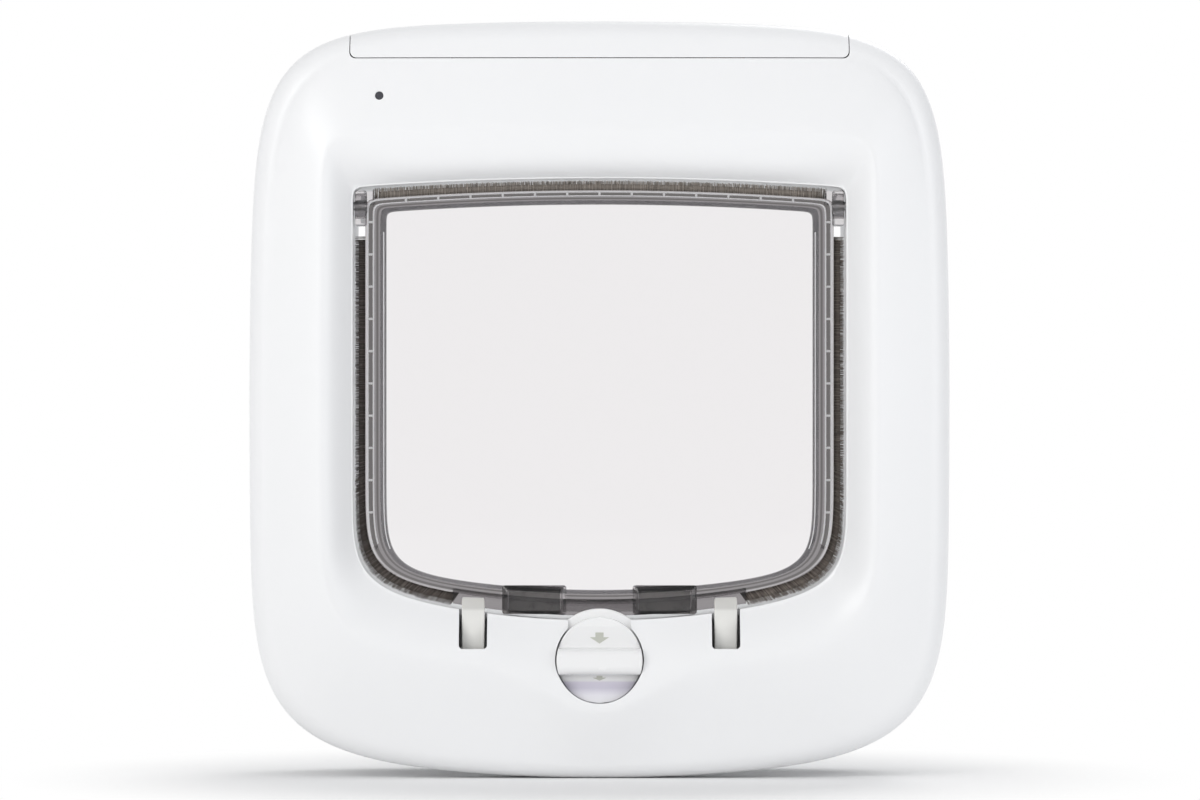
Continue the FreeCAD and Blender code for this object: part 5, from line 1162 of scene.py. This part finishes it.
def make_latches():
    """Latches: a rounded rectangle carried up, whose front leans back over the nose and whose top slants."""
    low, high = LATCH_LOW, LATCH_HIGH
    section = rounded_rectangle(-1.0, 1.0, 0.0, 1.0, 0.12, 4)
    steps = (
        (0.0, LATCH_ROUND), (0.02, 0.0), (0.3, 0.0), (0.6, 0.0), (1.0 - NOSE_RISE / (high.z - low.z), 0.0),
        (0.95, 0.0), (0.985, LATCH_ROUND * 0.3), (1.0, LATCH_ROUND),
    )
    for side, place in ((1, "right"), (-1, "left")):
        rings = []
        for share, inset in steps:
            level = low.z + share * (high.z - low.z)
            lean = NOSE_LEAN * max(0.0, (level - (high.z - NOSE_RISE)) / NOSE_RISE)
            front, back = low.y + lean + inset, high.y - inset * 0.5
            x = (low.x + high.x) / 2 + section[:, 0] * ((high.x - low.x) / 2 - inset)
            slant_share = smooth_step((share - NOSE_SLANT_FROM) / (1 - NOSE_SLANT_FROM))
            slant = -NOSE_SLANT * slant_share * (0.5 - section[:, 0] / 2)
            rings.append(np.stack([side * x, front + section[:, 1] * (back - front), level + slant], -1))
        piece = grid_object("latch_tongue_" + place, np.stack(rings), finish("ivory_latch"), caps=True)
        stand_for(piece, "latches", "latch", "latch_" + place)


def make_springs():
    """Return springs: a flat strip along a zigzag line with round bends."""
    for node in ("latch_spring_right", "latch_spring_left"):
        low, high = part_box(node)
        middle, half = (low.x + high.x) / 2, (high.x - low.x) / 2
        levels = np.linspace(low.z + SPRING_STRIP / 2, high.z - SPRING_STRIP / 2, SPRING_LEGS + 1)
        sides = np.where(np.arange(SPRING_LEGS + 1) % 2 == 0, 1, -1)
        corners = np.stack([middle + sides * (half + SPRING_REACH), levels], -1)
        ends = np.stack([middle - sides[[0, -1]] * half, levels[[0, -1]]], -1)
        line = rounded_path(np.concatenate([ends[:1], corners, ends[1:]]), [SPRING_BEND] * (SPRING_LEGS + 1), 6)
        along = np.gradient(line, axis=0)
        along /= np.linalg.norm(along, axis=1)[:, None]
        away = np.stack([-along[:, 1], along[:, 0]], -1) * SPRING_STRIP / 2
        rings = [
            np.insert(line + away * side, 1, depth, axis=1)
            for side, depth in ((1, low.y), (1, high.y), (-1, high.y), (-1, low.y))
        ]
        spring = grid_object(node + "_strip", np.stack(rings, axis=1), finish("ivory_bar"), caps=True)
        stand_for(spring, "housing", "latch", node)
        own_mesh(spring)


# Lock dial

KNOB_BACK_Y = -0.0159
KNOB_EDGE = 0.0006
# The rounded edge shrinks to this share of itself towards the foot, from the sum of these levels down to the first.
KNOB_FOOT_EDGE = 0.15
KNOB_FOOT_LEVEL, KNOB_FOOT_FADE = -0.0115, 0.005
KNOB_STEP = 0.0006
# Corners of the knob's face from bottom to top: level above the axis, depth and rounding.
KNOB_FACE = (
    (-0.0146, -0.0213, 0.0), (-0.0098, -0.0193, 0.0060), (-0.0071, -0.0201, 0.0020), (-0.0049, -0.0201, 0.0008),
    (-0.0049, -0.0266, 0.0031), (0.0041, -0.0266, 0.0031), (0.0041, -0.0188, 0.0012), (0.0115, -0.0214, 0.0005),
    (0.0146, -0.02025, 0.0),
)
FRONT_BLADE = (-0.0159, -0.0139)
REAR_BLADE = (-0.0055, -0.0035)
FRONT_BLADE_FROM, FRONT_BLADE_TO = math.radians(-50), math.radians(140)
REAR_BLADE_FROM, REAR_BLADE_TO = math.radians(-140), math.radians(50)
BLADE_ROUND = 0.0006
BLADE_AXIS_GAP = 0.0005
HUB_RADIUS = 0.008
HUB_OVERLAP = 0.001
JOURNAL_RADIUS = 0.005
# Arrow in its own units: half widths and levels of shaft and head.
ARROW = np.array([
    (-0.42, 1.0), (0.42, 1.0), (0.42, 0.15), (1.0, 0.15), (0.0, -1.0), (-1.0, 0.15), (-0.42, 0.15),
])
MARK_THICK = 0.00009
# Level above the dial's axis, half width and half height of each arrow.
UPPER_MARK = (0.0075, 0.0033, 0.0019)
LOWER_MARK = (-0.0061, 0.0024, 0.0009)


def knob_grid():
    """The knob: its face's profile carried across X out to the circle, with rounded edges and straight sides."""
    corners = np.array(KNOB_FACE)
    path = rounded_path(corners[:, :2], corners[1:-1, 2], 9)
    dense = [path[:1]]
    for start, end in zip(path, path[1:]):
        pieces = max(1, int(np.linalg.norm(end - start) / KNOB_STEP))
        dense.append(start + (end - start) * np.linspace(0, 1, pieces + 1)[1:, None])
    level, depth = np.concatenate(dense).T
    half = np.sqrt(np.maximum(KNOB_RADIUS ** 2 - level ** 2, 1e-10))
    full = smooth_step((level - KNOB_FOOT_LEVEL) / KNOB_FOOT_FADE)
    edge = np.minimum(KNOB_EDGE, half * 0.5) * (KNOB_FOOT_EDGE + (1 - KNOB_FOOT_EDGE) * full)
    right = [
        (half - edge * (1 - math.cos(angle)), depth + edge * (1 - math.sin(angle)))
        for angle in np.linspace(math.pi / 2, 0, 5)
    ]
    left = [(-x, y) for x, y in right[::-1]]
    middle = [((half - edge) * share, depth) for share in np.linspace(-0.9, 0.9, 13)]
    back = np.full_like(level, KNOB_BACK_Y)
    columns = [(-half, back)] + left + middle + right + [(half, back)]
    return np.stack([np.stack([x, y, DIAL_Z + level], -1) for x, y in columns], axis=1)


def blade(name, depths, start, end):
    """A lock blade: a rounded section turned through part of a circle."""
    near, far = depths
    corners = [(BLADE_AXIS_GAP, near), (BLADE_RADIUS, near), (BLADE_RADIUS, far), (BLADE_AXIS_GAP, far)]
    profile = rounded_path(corners, (BLADE_ROUND, BLADE_ROUND))
    return turned(name, profile, np.linspace(start, end, 97), (0.0, DIAL_Z), finish("dial_white"), closed=False)


def make_dial():
    """The dial: knob, two lock blades, and the hub with its journal, all on one axis."""
    around = np.linspace(0, 2 * math.pi, 65)[:-1]
    hub_front = KNOB_BACK_Y - HUB_OVERLAP
    hub = np.array([
        (0.0, hub_front), (HUB_RADIUS, hub_front), (HUB_RADIUS, REAR_BLADE[1]), (JOURNAL_RADIUS, REAR_BLADE[1]),
        (JOURNAL_RADIUS, DIAL_HIGH.y), (0.0, DIAL_HIGH.y),
    ])
    dial = joined("dial_knob", [
        grid_object("knob", knob_grid(), finish("dial_white"), caps=True),
        blade("front_blade", FRONT_BLADE, FRONT_BLADE_FROM, FRONT_BLADE_TO),
        blade("rear_blade", REAR_BLADE, REAR_BLADE_FROM, REAR_BLADE_TO),
        turned("hub", hub, around, (0.0, DIAL_Z), finish("dial_white")),
    ])
    stand_for(dial, "dial", "dial", "lock_dial")
    make_marks()


def make_marks():
    """Two printed arrows, laid on the straight stretches of the face above and below the grip."""
    parts = []
    for (rise, half_width, half_height), low, high in (
        (UPPER_MARK, KNOB_FACE[6], KNOB_FACE[7]), (LOWER_MARK, KNOB_FACE[2], KNOB_FACE[3]),
    ):
        x = ARROW[:, 0] * half_width
        level = rise + ARROW[:, 1] * half_height
        depth = low[1] + (high[1] - low[1]) * (level - low[0]) / (high[0] - low[0])
        rings = [np.stack([x, depth + thick, DIAL_Z + level], -1) for thick in (-MARK_THICK, MARK_THICK)]
        parts.append(grid_object("mark", np.stack(rings), finish("mark_print"), caps=True))
    marks = joined("dial_marks", parts)
    stand_for(marks, "dial", "dial")


# Outside frame

OUTSIDE_EDGE = 0.006
FACE_CROWN = 0.00012
SLEEVE_OUT = 0.0023
SLEEVE_START_Y = OUTSIDE_LOW.y
OUTSIDE_FACE_Y = OUTSIDE_HIGH.y
DOOR_Y = 0.044
MOUTH_ROUND = 0.0022
SCREW_X, SCREW_Z = 0.101, 0.078
RECESS_RADIUS = 0.0042
RECESS_FRONT_Y, RECESS_BACK_Y = 0.045, 0.07
POST_BORE = 0.0023
POST_WALL = 0.0011
POST_GAP = 0.0002
POST_SEAT = 0.006
POST_END = 0.0012


def outside_rows(settings):
    """Rows of the garden side: wall, edge as an arc, crowned face, round mouth and sleeve, then its back."""
    outside = FRAME.inset(FRAME_HIGH.x - OUTSIDE_HIGH.x)
    sleeve = OPENING.inset(-SLEEVE_OUT)
    mouth = sleeve.inset(-MOUTH_ROUND)
    wall = settings.sleeve_wall
    face_y = OUTSIDE_FACE_Y - FACE_CROWN
    rows = [(outside, y) for y in np.linspace(DOOR_Y, face_y - OUTSIDE_EDGE, 3)[:-1]]
    for angle in np.linspace(0, math.pi / 2, 11):
        outline = outside.inset(OUTSIDE_EDGE * (1 - math.cos(angle)))
        rows.append((outline, face_y - OUTSIDE_EDGE * (1 - math.sin(angle))))
    edge = rows[-1][0]
    for share in np.linspace(0, 1, 11)[1:]:
        rows.append((edge.blend(mouth, share), face_y + FACE_CROWN * (1 - (2 * share - 1) ** 2)))
    for angle in np.linspace(0, math.pi / 2, 7)[1:]:
        outline = sleeve.inset(-MOUTH_ROUND * (1 - math.sin(angle)))
        rows.append((outline, face_y - MOUTH_ROUND * (1 - math.cos(angle))))
    rows += [(sleeve, y) for y in np.linspace(face_y - MOUTH_ROUND, SLEEVE_START_Y, 4)[1:]]
    rows += [(sleeve.inset(-wall), SLEEVE_START_Y), (sleeve.inset(-wall), face_y - MOUTH_ROUND - wall)]
    rows += [(mouth.inset(-wall), face_y - wall), (edge, face_y - wall)]
    return rows + [(outside.inset(wall), face_y - OUTSIDE_EDGE), (outside.inset(wall), DOOR_Y)]


def make_outside_frame(settings):
    """The garden side's moulding, with its screw recesses and the posts behind them."""
    white = finish("white_shell")
    grid = ring_rows(outside_rows(settings), corner_weighted(settings.columns))
    screws = [(side * SCREW_X, level * SCREW_Z) for side in (-1, 1) for level in (-1, 1)]
    moulding = carved(grid_object("outside_frame", grid, white, wrap_rows=True), [
        prism("recess", circle(*screw, RECESS_RADIUS, 48), RECESS_FRONT_Y, RECESS_BACK_Y) for screw in screws
    ])
    around = np.linspace(0, 2 * math.pi, 49)[:-1]
    outer, foot, top = RECESS_RADIUS + POST_WALL, DOOR_Y + POST_GAP, OUTSIDE_FACE_Y - POST_END
    post = np.array([
        (POST_BORE, foot), (outer, foot), (outer, top), (RECESS_RADIUS, top), (RECESS_RADIUS, DOOR_Y + POST_SEAT),
        (POST_BORE, DOOR_Y + POST_SEAT),
    ])
    piece = joined("outside_frame", [moulding] + [turned("post", post, around, screw, white) for screw in screws])
    stand_for(piece, "housing", "shell", "exterior_frame")


# Solids that keep their shape and take a finish

FINISHES = {
    "rear_white": ("back_cover", "screw_caps"),
    "ivory_bar": ("latch_bar",),
    "magnet_ferrite": ("flap_magnet_right", "flap_magnet_left", "sill_magnet_right", "sill_magnet_left"),
    "drawn_steel": ("hinge_pin_right", "hinge_pin_left", "solenoid_plunger", "dial_washer"),
    "zinc_plate": ("solenoid_frame", "battery_contacts", "board_screws", "mounting_screws", "case_screws"),
    "copper_wire": ("antenna_coil", "solenoid_coil"),
    "circuit_green": ("circuit_board", "indicator_board"),
    "chip_black": ("board_parts",),
    "cell_sleeve": ("battery_cell_1", "battery_cell_2", "battery_cell_3", "battery_cell_4"),
    "tray_black": ("battery_tray",),
    "smoked_lens": ("status_led",),
    "key_blue": ("learn_button",),
}


def finish_solids():
    """Gives each solid of the frame the material of its piece."""
    for material_name, names in FINISHES.items():
        for name in names:
            slots = NODES[name].data.materials
            slots.clear()
            slots.append(finish(material_name))


# Stage

FLOOR_HALF = 4.0
BACKDROP_Y = 3.8
CLEAR_RADIUS = 0.08
FADE_WIDTH = 0.13
LOOK_AT_Y = -0.02
PHOTO_WIDTH = 1200
SENSOR_WIDTH = 36.0
WHITE = (1.0, 1.0, 1.0, 1.0)


def any_ray(tree, *labels):
    """1 for rays of any of these kinds, else 0."""
    rays = new_node(tree, "LightPath").outputs
    seen = rays[labels[0]]
    for label in labels[1:]:
        seen = math_node(tree, "MAXIMUM", seen, rays[label])
    return seen


def mix_shaders(tree, share, first, second, output):
    """Ends a tree with a mixture of two shaders."""
    mix = new_node(tree, "MixShader", {"Fac": share, 1: first, 2: second})
    tree.links.new(mix.outputs[0], tree.nodes[output].inputs["Surface"])


def stage_material(name, colour, fade):
    """A pale surface that turns plain white to the eye, away from the object where it fades."""
    material = moulded(name, colour, 0.8, 0.02, 0.05, 0.02)
    tree = material.node_tree
    seen = any_ray(tree, "Is Camera Ray", "Is Transmission Ray", "Is Glossy Ray")
    if fade:
        length = new_node(tree, "VectorMath", {0: object_place(tree)}, operation="LENGTH").outputs["Value"]
        far = between(tree, length, CLEAR_RADIUS, CLEAR_RADIUS + FADE_WIDTH, interpolation_type="SMOOTHSTEP")
        seen = math_node(tree, "MULTIPLY", seen, far)
    white = new_node(tree, "Emission", {"Color": WHITE, "Strength": 1.0}).outputs["Emission"]
    mix_shaders(tree, seen, tree.nodes["Principled BSDF"].outputs["BSDF"], white, "Material Output")
    return material


def sheet_of(name, corners, material):
    """A flat sheet of the stage between four corners."""
    mesh = bpy.data.meshes.new(name)
    mesh.from_pydata(corners, [], [(0, 1, 2, 3)])
    mesh.materials.append(material)
    thing = bpy.data.objects.new(name, mesh)
    bpy.context.scene.collection.objects.link(thing)
    return thing


def lamp(name, place, aim, size, power, colour):
    """A square soft light that faces a point."""
    data = bpy.data.lights.new(name, "AREA")
    data.size = size
    data.energy = power
    data.color = colour
    thing = bpy.data.objects.new(name, data)
    thing.location = place
    thing.rotation_euler = (Vector(aim) - Vector(place)).to_track_quat("-Z", "Y").to_euler()
    bpy.context.scene.collection.objects.link(thing)


def make_room(settings):
    """The room's light, which camera and transmission rays see as plain white."""
    world = bpy.data.worlds.new("soft_room")
    bpy.context.scene.world = world
    world.use_nodes = True
    tree = world.node_tree
    room = tree.nodes["Background"]
    room.inputs["Color"].default_value = (*settings.room_colour, 1.0)
    room.inputs["Strength"].default_value = settings.room_light
    seen = new_node(tree, "Background", {"Strength": 1.0, "Color": WHITE}).outputs["Background"]
    either = any_ray(tree, "Is Camera Ray", "Is Transmission Ray")
    mix_shaders(tree, either, room.outputs["Background"], seen, "World Output")


def make_camera(settings):
    """The camera square to the door, with the photograph's scale in the plane at LOOK_AT_Y."""
    data = bpy.data.cameras.new("camera")
    camera = bpy.data.objects.new("camera", data)
    camera.location = (settings.photo_scale / 2, -settings.distance, -settings.photo_scale / 2)
    camera.rotation_euler = (math.pi / 2, 0.0, 0.0)
    data.sensor_width = SENSOR_WIDTH
    data.lens = SENSOR_WIDTH * (settings.distance + LOOK_AT_Y) / (settings.photo_scale * PHOTO_WIDTH)
    bpy.context.scene.collection.objects.link(camera)
    bpy.context.scene.camera = camera


def make_stage(settings):
    """Floor, backdrop, room, lamps and camera."""
    floor_z = CAD_BOX[0].z
    far = FLOOR_HALF
    floor = sheet_of(
        "floor", [(-far, -far, 0.0), (far, -far, 0.0), (far, far, 0.0), (-far, far, 0.0)],
        stage_material("floor_paper", settings.floor_colour, True),
    )
    floor.location = (0.0, 0.0, floor_z)
    sheet_of(
        "backdrop",
        [(-far, BACKDROP_Y, floor_z), (far, BACKDROP_Y, floor_z), (far, BACKDROP_Y, far), (-far, BACKDROP_Y, far)],
        stage_material("backdrop_paper", settings.floor_colour, False),
    )
    make_room(settings)
    lamp("key", (-1.15, -1.5, 0.65), (0, 0, 0), 1.0, settings.key_power, (1.0, 0.99, 0.97))
    lamp("fill", (1.4, -1.2, 0.3), (0, 0, 0), 1.2, settings.fill_power, (0.97, 0.98, 1.0))
    lamp("rear", (0.6, 1.3, 1.3), (0, 0.03, 0), 1.0, settings.rear_power, (1.0, 1.0, 1.0))
    make_camera(settings)
    bpy.context.scene.view_settings.view_transform = "Standard"


# Settings


class MouldingSettings(PropertyGroup):
    colour: FloatVectorProperty(
        name="Colour", description="Colour of the white mouldings", subtype="COLOR",
        default=(0.897, 0.900, 0.906), min=0, max=1,
    )
    roughness: FloatProperty(
        name="Roughness", description="Roughness of the white mouldings", subtype="FACTOR",
        default=0.36, min=0, max=1,
    )
    wall: FloatProperty(
        name="Wall", description="Wall of the inside frame", unit="LENGTH", default=0.0024, min=0.0005, max=0.004,
    )
    columns: IntProperty(name="Columns", description="Points round each outline", default=560, min=80, max=900)
    flange_rows: IntProperty(name="Flange rows", description="Rows over the flange", default=14, min=3, max=40)
    dish_rows: IntProperty(name="Dish rows", description="Rows down the dish", default=16, min=4, max=40)
    sleeve_wall: FloatProperty(
        name="Sleeve wall", description="Wall of the outside frame", unit="LENGTH", default=0.002, min=0.001, max=0.004,
    )


class FlapSettings(PropertyGroup):
    columns: IntProperty(name="Columns", description="Points round the clear flap", default=480, min=80, max=900)
    groove_deep: FloatProperty(
        name="Groove", description="Depth of the ladder's groove", unit="LENGTH", default=0.0013, min=0.0005, max=0.003,
    )
    pane_tint: FloatVectorProperty(
        name="Pane", description="Tint of the window", subtype="COLOR", default=(0.862, 0.845, 0.852), min=0, max=1,
    )
    # The rail's tint is partly its own smoke and partly painted shade of what lies behind it.
    rail_tint: FloatVectorProperty(
        name="Rail", description="Tint of the thick rail", subtype="COLOR", default=(0.27, 0.255, 0.262), min=0, max=1,
    )
    # Painted shade in the ladder's groove, which the painted dark line, the band above the magnets and the housings'
    # sides use too.
    groove_shade: FloatVectorProperty(
        name="Groove tint", description="Tint in the ladder's groove", subtype="COLOR",
        default=(0.075, 0.07, 0.068), min=0, max=1,
    )


class PileSettings(PropertyGroup):
    spacing: FloatProperty(
        name="Spacing", description="Fibres along the strip", unit="LENGTH", default=0.00026, min=0.0001, max=0.002,
    )
    layers: IntProperty(name="Layers", description="Fibres across the strip", default=4, min=1, max=12)
    fibre_radius: FloatProperty(
        name="Fibre", description="Radius of a fibre at its root", unit="LENGTH", default=0.00014, min=0.00005,
        max=0.001,
    )
    # The left strip's colour, darker than the right strip's as painted shade.
    side_colour: FloatVectorProperty(
        name="Side colour", description="Colour of the pile at the sides", subtype="COLOR",
        default=(0.12, 0.10, 0.088), min=0, max=1,
    )
    lit_colour: FloatVectorProperty(
        name="Lit side colour", description="Colour of the pile at the side that faces the light", subtype="COLOR",
        default=(0.19, 0.16, 0.138), min=0, max=1,
    )
    top_colour: FloatVectorProperty(
        name="Top colour", description="Colour of the pile along the top", subtype="COLOR",
        default=(0.46, 0.405, 0.355), min=0, max=1,
    )


class StageSettings(PropertyGroup):
    photo_scale: FloatProperty(
        name="Scale", description="Length that one pixel of the photograph covers", unit="LENGTH", default=0.00034,
        min=0.0001, max=0.001, precision=6,
    )
    distance: FloatProperty(
        name="Distance", description="Camera in front of the door's face", unit="LENGTH", default=2.2, min=0.5, max=9,
    )
    floor_colour: FloatVectorProperty(
        name="Floor", description="Colour of floor and backdrop", subtype="COLOR", default=(0.93, 0.93, 0.93),
        min=0, max=1,
    )
    room_colour: FloatVectorProperty(
        name="Room", description="Colour of the room's light", subtype="COLOR", default=(0.97, 0.98, 1.0), min=0, max=1,
    )
    room_light: FloatProperty(name="Room light", description="Strength of the room's light", default=0.62, min=0, max=4)
    key_power: FloatProperty(name="Key", description="Power of the main light", unit="POWER", default=12, min=0)
    fill_power: FloatProperty(name="Fill", description="Power of the second light", unit="POWER", default=6.5, min=0)
    rear_power: FloatProperty(name="Rear", description="Power of the light behind", unit="POWER", default=9, min=0)


class CatFlapSettings(PropertyGroup):
    moulding: PointerProperty(type=MouldingSettings, name="Mouldings", description="White mouldings")
    flap: PointerProperty(type=FlapSettings, name="Flap", description="Clear flap")
    pile: PointerProperty(type=PileSettings, name="Pile", description="Brush strips")
    stage: PointerProperty(type=StageSettings, name="Stage", description="Floor, light and camera")


# Operators


class CATFLAP_OT_inside_frame(Operator):
    """Make the smooth inside frame with its slots, dial hole and light hole"""

    bl_idname = "catflap.inside_frame"
    bl_label = "Inside frame"

    def execute(self, context):
        make_inside_frame(context.scene.cat_flap.moulding)
        return {"FINISHED"}


class CATFLAP_OT_battery_cover(Operator):
    """Make the battery cover from the same skin as the frame"""

    bl_idname = "catflap.battery_cover"
    bl_label = "Battery cover"

    def execute(self, context):
        make_battery_cover(context.scene.cat_flap.moulding)
        return {"FINISHED"}


class CATFLAP_OT_flap(Operator):
    """Make the clear flap with its lip, housings, ears and ladder"""

    bl_idname = "catflap.flap"
    bl_label = "Clear flap"

    def execute(self, context):
        make_flap(context.scene.cat_flap.flap)
        return {"FINISHED"}


class CATFLAP_OT_pile(Operator):
    """Make the brush strips fibre by fibre"""

    bl_idname = "catflap.pile"
    bl_label = "Brush pile"

    def execute(self, context):
        make_pile(context.scene.cat_flap.pile)
        return {"FINISHED"}


class CATFLAP_OT_latches(Operator):
    """Make the two latches with rounded edges, and their springs"""

    bl_idname = "catflap.latches"
    bl_label = "Latches"

    def execute(self, context):
        make_latches()
        make_springs()
        return {"FINISHED"}


class CATFLAP_OT_dial(Operator):
    """Make the lock dial with its blades and printed arrows"""

    bl_idname = "catflap.dial"
    bl_label = "Lock dial"

    def execute(self, context):
        make_dial()
        return {"FINISHED"}


class CATFLAP_OT_outside_frame(Operator):
    """Make the outside frame with its sleeve and screw recesses"""

    bl_idname = "catflap.outside_frame"
    bl_label = "Outside frame"

    def execute(self, context):
        make_outside_frame(context.scene.cat_flap.moulding)
        return {"FINISHED"}


class CATFLAP_OT_finishes(Operator):
    """Give every solid that keeps its shape its finish"""

    bl_idname = "catflap.finishes"
    bl_label = "Finishes"

    def execute(self, context):
        finish_solids()
        return {"FINISHED"}


class CATFLAP_OT_stage(Operator):
    """Make the floor, the backdrop, the lights and the camera"""

    bl_idname = "catflap.stage"
    bl_label = "Stage"

    def execute(self, context):
        make_stage(context.scene.cat_flap.stage)
        return {"FINISHED"}


OPERATORS = (
    CATFLAP_OT_inside_frame, CATFLAP_OT_battery_cover, CATFLAP_OT_flap, CATFLAP_OT_pile,
    CATFLAP_OT_latches, CATFLAP_OT_dial, CATFLAP_OT_outside_frame, CATFLAP_OT_finishes, CATFLAP_OT_stage,
)


class CATFLAP_PT_panel(Panel):
    """Lists the pieces of the cat flap and their settings"""

    bl_idname = "CATFLAP_PT_panel"
    bl_label = "Cat flap"
    bl_space_type = "VIEW_3D"
    bl_region_type = "UI"
    bl_category = "Cat flap"

    def draw(self, context):
        layout = self.layout
        settings = context.scene.cat_flap
        for operator in OPERATORS:
            layout.operator(operator.bl_idname)
        for part in (settings.moulding, settings.flap, settings.pile, settings.stage):
            box = layout.box()
            for label in part.__annotations__:
                box.prop(part, label)


CLASSES = (
    MouldingSettings, FlapSettings, PileSettings, StageSettings, CatFlapSettings, *OPERATORS, CATFLAP_PT_panel,
)


def register():
    for kind in CLASSES:
        bpy.utils.register_class(kind)
    bpy.types.Scene.cat_flap = PointerProperty(type=CatFlapSettings)


def unregister():
    del bpy.types.Scene.cat_flap
    for kind in reversed(CLASSES):
        bpy.utils.unregister_class(kind)


def main():
    register()
    for operator in OPERATORS:
        family, name = operator.bl_idname.split(".")
        getattr(getattr(bpy.ops, family), name)()


if __name__ == "__main__":
    main()
